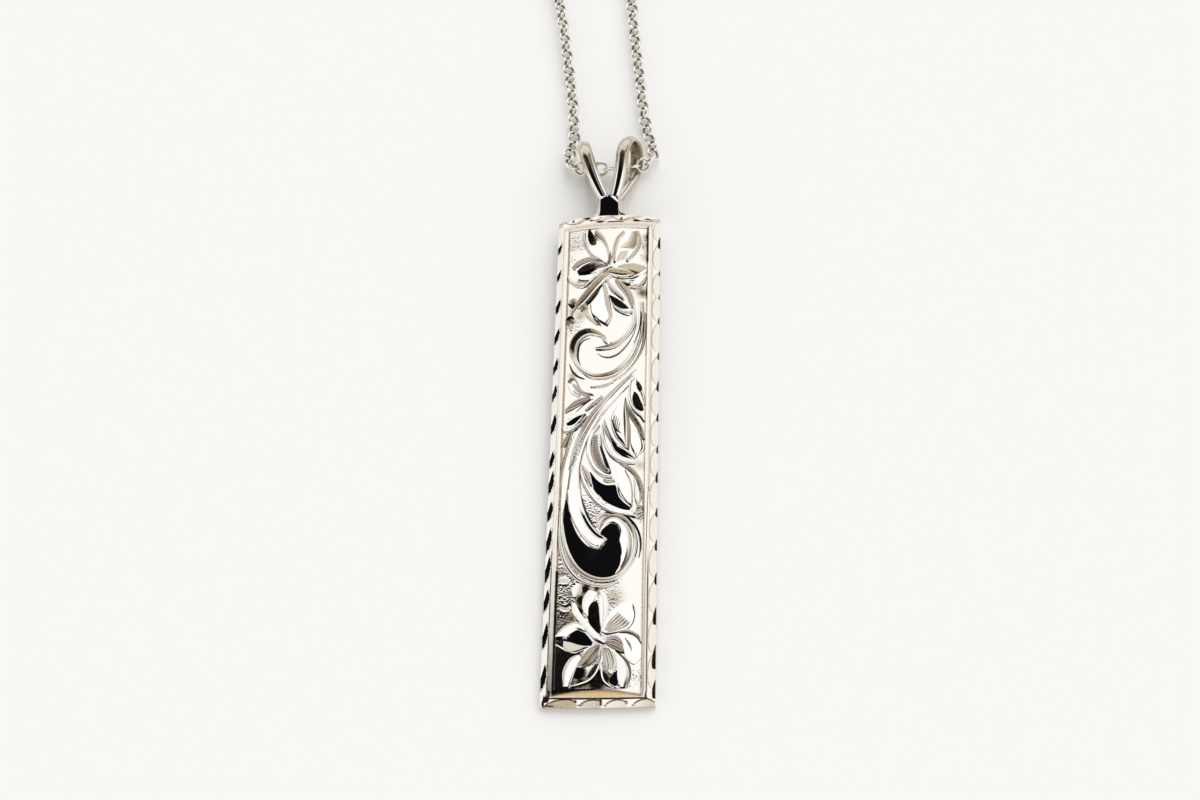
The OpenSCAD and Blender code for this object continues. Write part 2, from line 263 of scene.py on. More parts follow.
def silverMaterial(name, satinShade=None, tone=None, stipple=False):
    # the tone is the mesh's own attribute unless one is given for the whole
    material = bpy.data.materials.new(name)
    material.use_nodes = True
    tree = material.node_tree
    shader = tree.nodes["Principled BSDF"].inputs
    shader["Metallic"].default_value = 1
    if tone is None:
        tone = addNode(tree, "Attribute", attribute_name="tone").outputs["Fac"]
    finish = addNode(tree, "Group", {"Tone": tone}, node_tree=silverFinishAndShade)
    if satinShade:
        finish.inputs["Rosy Satin Shade"].default_value = (*satinShade, 1)
        finish.inputs["Gold Satin Shade"].default_value = (*satinShade, 1)
    place = addNode(tree, "TexCoord").outputs["Object"]
    ripple = addNode(tree, "TexNoise", {"Vector": place, "Scale": silverLook["rippleSize"], "Detail": 2})
    normal = addNode(tree, "Bump", {"Height": ripple.outputs["Fac"], "Strength": silverLook["rippleStrength"],
                                    "Distance": silverLook["rippleDepth"]}).outputs["Normal"]
    if stipple:
        pits = addNode(tree, "TexVoronoi", {"Vector": place, "Scale": silverLook["stippleSize"]})
        where = addNode(tree, "Attribute", attribute_name="stipple")
        depth = multiply(tree, pits.outputs["Distance"], where.outputs["Fac"])
        normal = addNode(tree, "Bump", {"Height": depth, "Distance": silverLook["stippleDepth"],
                                        "Normal": normal}).outputs["Normal"]
    tree.links.new(finish.outputs["Color"], shader["Base Color"])
    tree.links.new(finish.outputs["Roughness"], shader["Roughness"])
    tree.links.new(normal, shader["Normal"])
    return material


# each material mixes in its satin colour, painted warm reflection and shade, by the tone; the clasp has 0.3
# of it all over
barSilver = silverMaterial("barSilver", silverLook["warmSatinShade"], stipple=True)
reliefSilver = silverMaterial("reliefSilver")
bailSilver = silverMaterial("bailSilver", silverLook["bailSatinShade"])
chainSilver = silverMaterial("chainSilver", silverLook["paleSatinShade"])
claspSilver = silverMaterial("claspSilver", tone=silverLook["claspTone"])

# The bar

bar = {
    "halfWidth": 5.0, "length": 48.0, "wall": 0.65, "slopeWidth": 0.68, "slopeRise": 0.45, "crownRise": 0.6,
    "endFace": 0.5, "leastFace": 0.002, "fieldMargin": 0.1, "domeMargin": 0.3, "sharpAngle": 28,
    "railWidth": 0.42, "railRise": 0.07, "railStart": 0.05, "leftRailRise": 0.14, "leftRailEdge": 1.1,
    "endBulge": 0.15, "endLift": 0.06, "topFall": 0.1,
    # the grid: rows on a slope, columns on a rail and on half of the field, and steps elsewhere
    "slopeRows": 16, "railColumns": 9, "fieldColumns": 22, "wallSteps": 0.05, "rowStep": 0.07,
    # the ledge at the top of the foot's slope: its width, and the slope that is left on it
    "ledge": 0.1, "ledgeRise": 0.15,
    # the field's depth under the dome by y: it ends shallower near the bail
    "groundDrop": ((44.6, 0.25), (46.7, 0.1)),
    # the power that moves the right rail's ridge across by y
    "railLean": ((11, 2), (20, 0.45)),
    # lens cuts in the borders: place along the border and half length
    "leftCuts": ((2.5, 1.2), (6.2, 1.3), (9.4, 1.1), (12.3, 1.4), (15, 1.3), (17.8, 1), (20.6, 1.2),
                 (22.9, .9), (26.4, 1.1), (29.6, .9), (32.4, .9), (35.6, .95), (38.8, .9), (42.2, .75),
                 (45.2, .75)),
    "rightCuts": ((1.5, .9), (4.4, 1.2), (8, .9), (11.4, .6), (14.5, .6), (17.6, .5), (21, .6), (23.7, .45),
                  (26.9, .5), (30.1, .6), (33.2, .45), (36.9, .4), (39.4, .3), (42, .35), (45.4, .7)),
    "rightLines": ((3.1, 1.7), (6.2, 1.7), (9.7, 1.6), (13, 1.6), (16.1, 1.5), (19.3, 1.6), (22.4, 1.5),
                   (25.3, 1.5), (28.5, 1.5), (31.7, 1.5), (35.1, 1.6), (38.2, 1.5), (40.7, 1.4), (43.7, 1.5),
                   (46.6, 1.2)),
    "footCuts": ((-3.2, 1.5), (-.55, 1.1), (1.6, 1.0), (4, 1.0)),
    "topCuts": ((-3.4, 1.0), (-1.5, .8), (1.2, .9), (3.3, 1.1)),
}
# flatter, wall and lean are slopes; line and fill are the tones of a cut's outline and inside, painted shade
# and dark reflection along the cuts
cutKinds = {
    "leftCuts": {"width": 0.64, "flatter": 0.36, "wall": 2.2, "lean": 0.1, "slant": 0.14,
                 "line": 0.6, "lineWidth": 0.055, "fill": 0, "leanGrowth": ((30, 1), (50, 3))},
    "rightCuts": {"width": 0.24, "flatter": 0.2, "wall": 1.6, "lean": 0.02, "slant": -0.16,
                  "line": 1.2, "lineWidth": 0.03, "fill": 1.9},
    "rightLines": {"width": 0.62, "flatter": 0.03, "wall": 0.4, "lean": 0.0, "slant": -0.1,
                   "line": 1.25, "lineWidth": 0.05, "fill": 0.32},
    "footCuts": {"width": 0.52, "flatter": 0.06, "wall": 0.6, "lean": 0.0, "slant": 0.13,
                 "line": 1.9, "lineWidth": 0.08, "fill": 0.55},
    "topCuts": {"width": 0.55, "flatter": 0.1, "wall": 0.8, "lean": 0.05, "slant": 0.1,
                "line": 1.9, "lineWidth": 0.07, "fill": 0.2},
}
barTones = {
    "field": 0.1, "border": 0.14, "leftBorder": 0.04, "leftBorderEnd": -4.4, "rail": 0.35, "bit": 2,
    # middle and swing of the waves of painted reflection over the bail end's steep face and over the slope
    # before it, with half a wave in millimetres for the face and the waves' speeds in x and y for the slope
    "topFace": (0.3, 0.4, 0.6), "topSlope": (0.4, 0.35, 2.6, 6),
    # the rails' satin bands, whose warm colour is painted reflection: middle and half width as shares; the
    # left rail has a second one below a y
    "railBand": (0.35, 0.2), "leftRailBand": (0.6, 0.25), "leftRailBandEnd": 20,
    # how far the outlines and strokes fade beyond their half widths
    "outlineFade": 1.2, "strokeFade": 1.5,
    # the foot's steep face: a painted highlight line at a share of its height, round which the painted shade
    # is least and then grows with a power of the share; and the painted shade of the ledge above it by x
    "footLine": 0.45, "footFace": (0.1, 2.6, 1.3), "footLedge": ((0, 1.9), (0.8, 0.8), (2.5, 0.15)),
    # the painted shade inside the foot's cuts by x
    "footCuts": ((-4.6, 1), (-1.9, .9), (-1.6, .5), (.2, .75), (.5, .25), (2.4, .45), (2.7, .2), (4.8, .7)),
    # painted black reflections and shade in the end borders: x, y and half sizes
    "bits": ((-3.55, 47.85, .09, .22), (-2.1, 47.98, .32, .12), (2.8, 47.52, .42, .12), (-.75, 47.45, .4, .1),
             (.7, 47.4, .9, .05), (3.8, 47.75, .35, .08), (-1.6, 47.7, .12, .14), (1.3, 47.75, .12, .16),
             (-4.42, .55, .3, .28), (-4.7, .2, .12, .3), (-3.1, .56, 1.3, .05), (-1.75, .34, .1, .2),
             (-.9, .56, 1, .04), (.4, .24, .1, .24), (-1.5, .06, .3, .05), (2.5, .3, .07, .18),
             (-4.2, .02, .5, .05)),
    # painted dark lines of shade beside the rails: x, half width, from, to and tone
    "strokes": ((-4.36, .05, .7, 14, 1.9), (-4.36, .03, 13, 47, .8), (-3.87, .07, .9, 12, 1.9),
                (-3.87, .05, 11, 47, .8), (3.87, .1, 43, 46.9, 1.8), (3.87, .06, 33, 44, 1.1),
                (3.87, .05, 1, 34, .8), (4.36, .03, 1, 47, .8)),
    # painted dark reflections and shade in the field: x, y, radius and strength
    "patches": ((3.55, 39.6, .45, .9), (-3.3, 45.2, 1, .25), (3.7, 45.8, .35, 1), (.45, 2.6, .35, 2),
                (-1.4, 1.9, .5, 1.8), (.3, 3.5, .25, 1.2), (.3, 6.7, .25, 1.6), (.9, 2.2, .4, 1.5),
                (3.3, 39.9, .6, .7), (3.7, 44.8, .5, .6), (3.8, 43.6, .4, .7), (-2.5, 37.4, .5, .8),
                (-3.3, 38, .4, .7), (-.7, 36.6, .3, 1.5), (1.4, 9.5, .7, .6), (-3.4, 11.9, .5, .6),
                (3.4, 22, .5, .6), (-3, 31.2, .4, .8), (3.5, 17.2, .5, .7), (0, 1.75, .85, 2.2),
                (-1.5, 9.2, .45, 3), (-1.7, 8.2, .4, 2.6), (-2.4, 7.6, .35, 1.5), (-1.2, 10.25, .4, 2.6),
                (-.2, 10.2, .25, 2), (-3.4, 7.3, .35, .8), (-2.5, 9.9, .3, 1.2), (-2.8, 40.9, .35, 1),
                (1.5, 40.6, .45, 1.2)),
}
stippling = {
    "base": 0.15,
    # places where the ground was struck harder, or less where negative: x, y, radius and strength
    "patches": ((-.8, 17.4, 1.1, .8), (-3.4, 12.2, .6, .4), (-3, 10, 1.0, .15), (1.2, 9.3, .5, .25),
                (-3.2, 36.5, 1, .4), (3.4, 2.5, .8, .2), (3.4, 40, .6, .8), (3.6, 45, .8, .5),
                (3.6, 43.6, .7, .6), (3.5, 41.8, .4, .3), (-3.2, 45, 1.2, .06), (-3.4, 43.7, .6, .4),
                (3.4, 17.3, .6, .7), (-3.2, 3, 1.6, -.12), (0, 5, 2.4, -.14)),
}
# for comparing places: a distance clear of a crease, and one for rounding
near, hair = 0.01, 1e-6
railHeight = bar["wall"] + bar["slopeRise"]
crownHeight = railHeight + bar["crownRise"]
flatHalf = bar["halfWidth"] - bar["slopeWidth"]
domeHalf = flatHalf + bar["domeMargin"]
domeRadius = (flatHalf ** 2 + bar["crownRise"] ** 2) / (2 * bar["crownRise"])
fieldHalf = flatHalf - bar["railWidth"]
fieldLow = bar["slopeWidth"] + bar["endFace"] + bar["fieldMargin"]
fieldHigh = bar["length"] - fieldLow


def byPlace(at, rows):
    # straight lines between rows of (place, value)
    return np.interp(at, *zip(*rows))


def domeHeight(x):
    # the circle of the domed front, level beyond the borders
    return crownHeight - domeRadius + np.sqrt(domeRadius ** 2 - np.minimum(abs(x), domeHalf) ** 2)


def groundHeight(x, y):
    # the field lies lower than the dome
    return domeHeight(x) - byPlace(y, bar["groundDrop"])


def cutShare(along, across, kind):
    # how far inside the nearest lens cut a place is, from the cut's inner edge, and how far along it;
    # a lens is width * sqrt(1 - (off / half) ** 2) wide and slants with the place along it
    outside = -9.0
    nearest = np.full(np.broadcast(along, across).shape, outside)
    lean = np.zeros_like(nearest)
    cut = cutKinds[kind]
    for place, half in bar[kind]:
        off = along - place
        width = cut["width"] * min(1, half)
        inner = width * np.sqrt(np.clip(1 - (off / half) ** 2, 0, 1)) + cut["slant"] * off - across
        inner = np.where(abs(off) < half, inner, outside)
        lean = np.where(inner > nearest, off, lean)
        nearest = np.maximum(inner, nearest)
    return nearest, lean


def cutDepthAt(along, across, kind):
    # from the outer edge inwards a cut falls slowly under the slope and then rises in a short wall
    inner, lean = cutShare(along, across, kind)
    cut = cutKinds[kind]
    turned = cut["lean"] * byPlace(along, cut.get("leanGrowth", ((0, 1),)))
    return np.clip(np.minimum(across * cut["flatter"] - lean * turned, inner * cut["wall"]), 0, None)


def patchSum(x, y, patches):
    # round soft patches added up: strength * exp(-(distance / radius) ** 2)
    total = 0
    for px, py, radius, strength in patches:
        total = total + strength * np.exp(-((x - px) ** 2 + (y - py) ** 2) / radius ** 2)
    return total


def barGrid():
    # x and y of a grid over the front, with lines on every crease, and for each column the distance from
    # the end at which the steep face meets the dome
    edge = bar["halfWidth"]
    slope = np.linspace(0, bar["slopeWidth"], bar["slopeRows"])
    wallTop = -fieldHalf + bar["wallSteps"]
    rail = np.linspace(0, bar["railWidth"], bar["railColumns"])[1:]
    left = np.concatenate([-edge + slope, -flatHalf + rail, [wallTop]])
    x = np.concatenate([left, np.linspace(wallTop, 0, bar["fieldColumns"])[1:]])
    x = np.concatenate([x, -x[-2::-1]])
    slopeTop = railHeight + bar["endLift"] * (1 - (x / edge) ** 2)
    faceSlope = bar["crownRise"] / bar["endFace"]
    faceTop = bar["slopeWidth"] + np.clip((domeHeight(x) - slopeTop) / faceSlope, bar["leastFace"], None)
    foot = [np.full_like(x, s) for s in slope]
    foot += [bar["slopeWidth"] + (faceTop - bar["slopeWidth"]) * t for t in (0.25, 0.5, 0.75, 1)]
    foot += [faceTop + (fieldLow - faceTop) * t for t in (0.5, 1)]
    foot = np.array(foot)
    middleCount = int((fieldHigh - fieldLow - 2 * bar["wallSteps"]) / bar["rowStep"])
    middle = np.linspace(fieldLow + bar["wallSteps"], fieldHigh - bar["wallSteps"], middleCount)
    y = np.concatenate([foot, np.repeat(middle[:, None], len(x), 1), bar["length"] - foot[::-1]])
    return np.broadcast_to(x, y.shape).copy(), y, faceTop


def barHeight(x, y, fromSide, fromEnd, atFoot, field, acrossRail):
    # the lowest of the domed front and the cut slopes of sides and ends; the field is sunk into it, and on
    # the rails stand a ridge on the right and a rise outwards on the left
    slopeWidth = bar["slopeWidth"]
    rise = bar["slopeRise"] / slopeWidth
    lifted = bar["endLift"] * (1 - (x / bar["halfWidth"]) ** 2)
    onLedge = np.clip(fromEnd - slopeWidth + bar["ledge"], 0, bar["ledge"]) * atFoot
    ledgeDrop = onLedge * (rise - bar["ledgeRise"])
    footSlope = np.where(fromEnd < slopeWidth + hair, bar["wall"] + lifted + fromEnd * rise - ledgeDrop,
                         railHeight + lifted + (fromEnd - slopeWidth) * (bar["crownRise"] / bar["endFace"]))
    topSlope = domeHeight(x) - bar["topFall"] * np.clip(1 - fromEnd / slopeWidth, 0, 1)
    endCut = np.where(atFoot, cutDepthAt(x, fromEnd, "footCuts"), cutDepthAt(x, fromEnd, "topCuts"))
    endSlope = np.where(atFoot, footSlope, topSlope) - np.where(fromEnd < slopeWidth - near, endCut, 0)
    leftCut = cutDepthAt(y, fromSide, "leftCuts")
    rightCut = np.maximum(cutDepthAt(y, fromSide, "rightCuts"), cutDepthAt(y, fromSide, "rightLines"))
    sideCut = np.where(x < 0, leftCut, rightCut) * (fromSide < slopeWidth - near)
    sideSlope = bar["wall"] + fromSide * rise - sideCut
    sideSlope = np.where(fromSide > slopeWidth + near, np.inf, sideSlope)
    z = np.minimum(np.minimum(domeHeight(x), sideSlope), endSlope)
    z = np.where(field, groundHeight(x, y), z)
    onRail = (acrossRail > 0) & (acrossRail < 1)
    onRail = onRail & (y > slopeWidth + bar["railStart"]) & (y < fieldHigh + near)
    railForm = np.where(x < 0, bar["leftRailRise"] * np.clip(bar["leftRailEdge"] - acrossRail, 0, 1),
                        bar["railRise"] * np.sin(np.pi * acrossRail ** byPlace(y, bar["railLean"])))
    return z + np.where(onRail, railForm, 0)


def barTone(x, y, fromSide, fromEnd, atFoot, field, acrossRail, faceTop):
    # first the field and the borders, then the painted reflections, highlight and shade of the end faces, the
    # rails, the cuts and the marks over them
    slopeWidth = bar["slopeWidth"]
    look = barTones
    tone = np.where(x < look["leftBorderEnd"], look["leftBorder"], look["border"])
    tone = np.where(field, look["field"], tone)
    onEnd = (fromEnd > slopeWidth - 2 * near) & (fromEnd < fieldLow + 2 * near)
    onEnd = onEnd & (fromSide > slopeWidth - 2 * near)
    middle, swing, half = look["topFace"]
    tone = np.where(onEnd & ~atFoot, middle + swing * np.sin(np.pi * (fromEnd - slopeWidth) / half), tone)
    # the foot's face: a painted highlight line with painted shade round it and on the ledge
    upFace = (fromEnd - slopeWidth) / (faceTop - slopeWidth)
    least, growth, power = look["footFace"]
    footFace = np.where(upFace < 1 + near, least + growth * abs(upFace - look["footLine"]) ** power,
                        byPlace(x, look["footLedge"]))
    tone = np.where(onEnd & atFoot & (fromSide > slopeWidth + bar["railWidth"]), footFace, tone)
    onBand, onLeftBand = (abs(acrossRail - middle) < half for middle, half in
                          (look["railBand"], look["leftRailBand"]))
    onBand = onBand | (onLeftBand & (x < 0) & (y < look["leftRailBandEnd"]))
    tone = np.where(onBand & (~onEnd | atFoot), look["rail"], tone)
    middle, swing, speedX, speedY = look["topSlope"]
    onTop = (fromEnd < slopeWidth - 2 * near) & ~atFoot
    tone = np.where(onTop, middle + swing * np.sin(speedX * x + speedY * fromEnd), tone)
    for kind, along, across, place in (
            ("leftCuts", y, fromSide, x < 0), ("rightCuts", y, fromSide, x > 0),
            ("rightLines", y, fromSide, x > 0), ("footCuts", x, fromEnd, atFoot),
            ("topCuts", x, fromEnd, ~atFoot)):
        cut = cutKinds[kind]
        inner, _ = cutShare(along, across, kind)
        outline = cut["line"] * np.clip(look["outlineFade"] - abs(inner) / cut["lineWidth"], 0, 1)
        fill = byPlace(x, look["footCuts"]) if kind == "footCuts" else cut["fill"]
        tone = np.maximum(tone, np.maximum(outline, fill * (inner > 0)) * place)
    # painted black reflections and shade, then painted dark lines beside the rails
    for px, py, halfLong, halfWide in look["bits"]:
        tone = np.where(((x - px) / halfLong) ** 2 + ((y - py) / halfWide) ** 2 < 1, look["bit"], tone)
    for px, halfWide, low, high, mark in look["strokes"]:
        share = np.clip(look["strokeFade"] - abs(x - px) / halfWide, 0, 1) * (y > low) * (y < high)
        tone = np.maximum(tone, mark * share)
    # the field's patches are painted dark reflections and shade
    return tone + patchSum(x, y, look["patches"]) * field


def barBody():
    # the front's grid with its walls and a flat back
    x, y, faceTop = barGrid()
    fromSide = bar["halfWidth"] - abs(x)
    fromEnd = np.minimum(y, bar["length"] - y)
    atFoot = y < bar["length"] / 2
    field = (abs(x) < fieldHalf - near) & (y > fieldLow + near) & (y < fieldHigh - near)
    acrossRail = np.clip((fromSide - bar["slopeWidth"]) / bar["railWidth"], 0, 1)
    z = barHeight(x, y, fromSide, fromEnd, atFoot, field, acrossRail)
    # both ends bulge a little
    bend = 1 - (x / bar["halfWidth"]) ** 2
    y = y + bar["endBulge"] * bend * np.where(atFoot, -1, 1) * np.clip(1 - fromEnd / fieldLow, 0, 1)
    tone = barTone(x, y, fromSide, fromEnd, atFoot, field, acrossRail, faceTop)
    stipple = (stippling["base"] + patchSum(x, y, stippling["patches"])) * field
    rows, columns = z.shape
    top = np.stack([x, y, z], -1).reshape(-1, 3)
    number = np.arange(rows * columns).reshape(rows, columns)
    around = np.concatenate([number[0, :-1], number[:-1, -1], number[-1, :0:-1], number[:0:-1, 0]])
    ring = np.arange(len(around))
    nextRing = (ring + 1) % len(around)
    walls = np.stack([around, len(top) + ring, len(top) + nextRing, around[nextRing]], -1)
    back = (len(top) + ring[::-1])[None, :]
    points = np.concatenate([top, top[around] * [1, 1, 0]])
    plain = np.zeros(len(around))
    shape = (points, [gridQuads(rows, columns), walls, back], np.concatenate([tone.ravel(), plain]))
    piece = platePiece("engraved_bar", [shape], barSilver, bar["sharpAngle"])
    setAttribute(piece.data, "stipple", np.concatenate([stipple.ravel(), plain]))
    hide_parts("bar_pendant")


barBody()
print("bar made")

# The relief

# Cross sections of a form: (place across, height), from its left edge to its right edge as seen
# from its root towards its tip
sections = {
    "plane": [(0, 0), (1, 0)],
    "slab": [(0, .03), (.5, .05), (1, .03)],
    "facet": [(0, 0), (.03, .09), (.1, .13), (.5, .15), (.9, .13), (.97, .09), (1, 0)],
    "pillow": [(0, 0), (.08, .12), (.3, .22), (.55, .26), (.8, .2), (.93, .1), (1, 0)],
    "bead": [(0, 0), (.07, .12), (.18, .18), (.5, .21), (.82, .18), (.93, .12), (1, 0)],
}
# Tones across a form, in the same way: over the polish, satin whose colour is painted reflection, and beyond
# 1 painted shade
polished = [(0, 0.4), (0.05, 0), (0.95, 0), (1, 0.4)]
# a satin middle whose colour is painted reflection and shade
satinShadeBand = [(0, 0.3), (0.14, 0.1), (0.24, 1), (0.76, 1), (0.86, 0.1), (1, 0.3)]
# Slopes of bright-cut facets in x and y: one that faces the foot looks dark, the others look bright
footward = (0, 0.2)
upward = (0, -0.12)
relief = {
    "skirt": 0.1, "lowest": -0.03, "sharpAngle": 35,
    # a hatch: how softly its field ends across and along, grid steps to a line, rows at least where the
    # lines run along, and the painted shade of its lines' grooves as wave ** power + base
    "hatchRimAcross": 0.08, "hatchRimAlong": 0.06, "hatchSteps": 6, "hatchRows": 40, "hatchTone": (1.3, 0.2),
}


def flat(tone):
    # the same tone from edge to edge
    return [(0, tone), (1, tone)]


def hatching(way, count, depth, tone, across, along):
    # graver's lines across or along a form, between two shares of its width and two of its length
    return {"way": way, "count": count, "depth": depth, "tone": tone, "across": across, "along": along}


def withinSpan(at, span, rim):
    # 1 inside a span and 0 outside, with a straight rise over rim at each end
    return np.clip((at - span[0]) / rim, 0, 1) * np.clip((span[1] - at) / rim, 0, 1)


def form(left, right, section="facet", lift=0, slope=(0, 0), tone=polished, fade=1, hatch=None,
         acrossCount=17, alongCount=26):
    # a surface between two edge curves: at (across u, along v) its height over the ground is
    # section(u) + lift(v) plus a plane's slope in x and y, less the hatch's grooves, and its tone is
    # tone(u) * fade(v), plus painted shade in the hatch's grooves; skirts and a bottom close it
    if hatch:
        steps = relief["hatchSteps"] * hatch["count"]
        alongCount = max(alongCount, steps if hatch["way"] == "across" else relief["hatchRows"])
        acrossCount = max(acrossCount, steps if hatch["way"] == "along" else acrossCount)
    v = np.linspace(0, 1, alongCount)
    u = (1 - np.cos(np.linspace(0, np.pi, acrossCount))) / 2
    leftLine, rightLine = smoothLine(left, v), smoothLine(right, v)
    xy = leftLine[:, None, :] * (1 - u)[None, :, None] + rightLine[:, None, :] * u[None, :, None]
    rows = sections[section] if isinstance(section, str) else section
    across = smoothValues(*zip(*rows), u)
    height = across[None, :] + evenValues(lift, v)[:, None]
    centre = xy.reshape(-1, 2).mean(0)
    height = height + (xy - centre) @ np.array(slope, float)
    toneGrid = byPlace(u, tone)[None, :] * evenValues(fade, v)[:, None]
    if hatch:
        inside = (withinSpan(u, hatch["across"], relief["hatchRimAcross"])[None, :]
                  * withinSpan(v, hatch["along"], relief["hatchRimAlong"])[:, None])
        at = v[:, None] if hatch["way"] == "across" else u[None, :]
        wave = 1 - np.abs(np.sin(math.pi * hatch["count"] * at))
        height = height - hatch["depth"] * inside * wave
        power, base = relief["hatchTone"]
        toneGrid = toneGrid + hatch["tone"] * inside * (wave ** power + base)
    z = groundHeight(xy[..., 0], xy[..., 1]) + np.maximum(height, relief["lowest"])
    points = np.concatenate([xy, z[..., None]], -1)
    low = points[:, [0, -1]].copy()
    low[..., 2] = groundHeight(low[..., 0], low[..., 1]) - relief["skirt"]
    points = np.concatenate([low[:, :1], points, low[:, 1:]], 1)
    toneGrid = np.clip(np.concatenate([toneGrid[:, :1], toneGrid, toneGrid[:, -1:]], 1), 0, 2)
    # the faces turn the other way where left and right are changed over
    middle = alongCount // 2
    sideways = rightLine[middle] - leftLine[middle]
    forward = leftLine[middle + 1] + rightLine[middle + 1] - leftLine[middle - 1] - rightLine[middle - 1]
    return closedTube(points, toneGrid, sideways[0] * forward[1] < sideways[1] * forward[0])


def ribbon(path, widths, section="bead", tone=satinShadeBand, **more):
    # a form whose edges lie half a width to each side of a path
    at = np.linspace(0, 1, 3 * len(path))
    line = smoothLine(path, at)
    side = leftOf(unit(np.gradient(line, axis=0))) * evenValues(widths, at)[:, None] / 2
    more = {"acrossCount": 13, "alongCount": 6 * len(path), **more}
    return form(line + side, line - side, section, tone=tone, **more)


slab = partial(form, section="slab")
slabRibbon = partial(ribbon, section="slab")
brightRibbon = partial(ribbon, tone=polished)
# near-black lines and ribbons of painted shade and dark reflection
darkLine = flat(1.85)
darkRibbon = partial(ribbon, tone=darkLine)


def bud(x, y, radius, height, tone):
    # a dome on a round outline: at t from 0 to nearly 1 its radius is radius * cos(t * 90 degrees); its tone
    # grows to a painted dark spot at the top
    rings, sides, topShare = 8, 18, 0.97
    t = np.linspace(0, 1, rings)[:, None]
    turn = np.linspace(0, 2 * np.pi, sides, endpoint=False)[None, :]
    reach = radius * np.cos(t * np.pi / 2 * topShare)
    px, py = x + reach * np.cos(turn), y + reach * np.sin(turn)
    pz = groundHeight(px, py) + height * np.sin(t * np.pi / 2)
    low = np.stack([px[0], py[0], groundHeight(px[0], py[0]) - relief["skirt"]], -1)
    points = np.concatenate([low[None], np.stack([px, py, pz], -1)], 0)
    return closedTube(points, np.repeat(np.linspace(0.2, tone, rings + 1)[:, None], sides, 1))


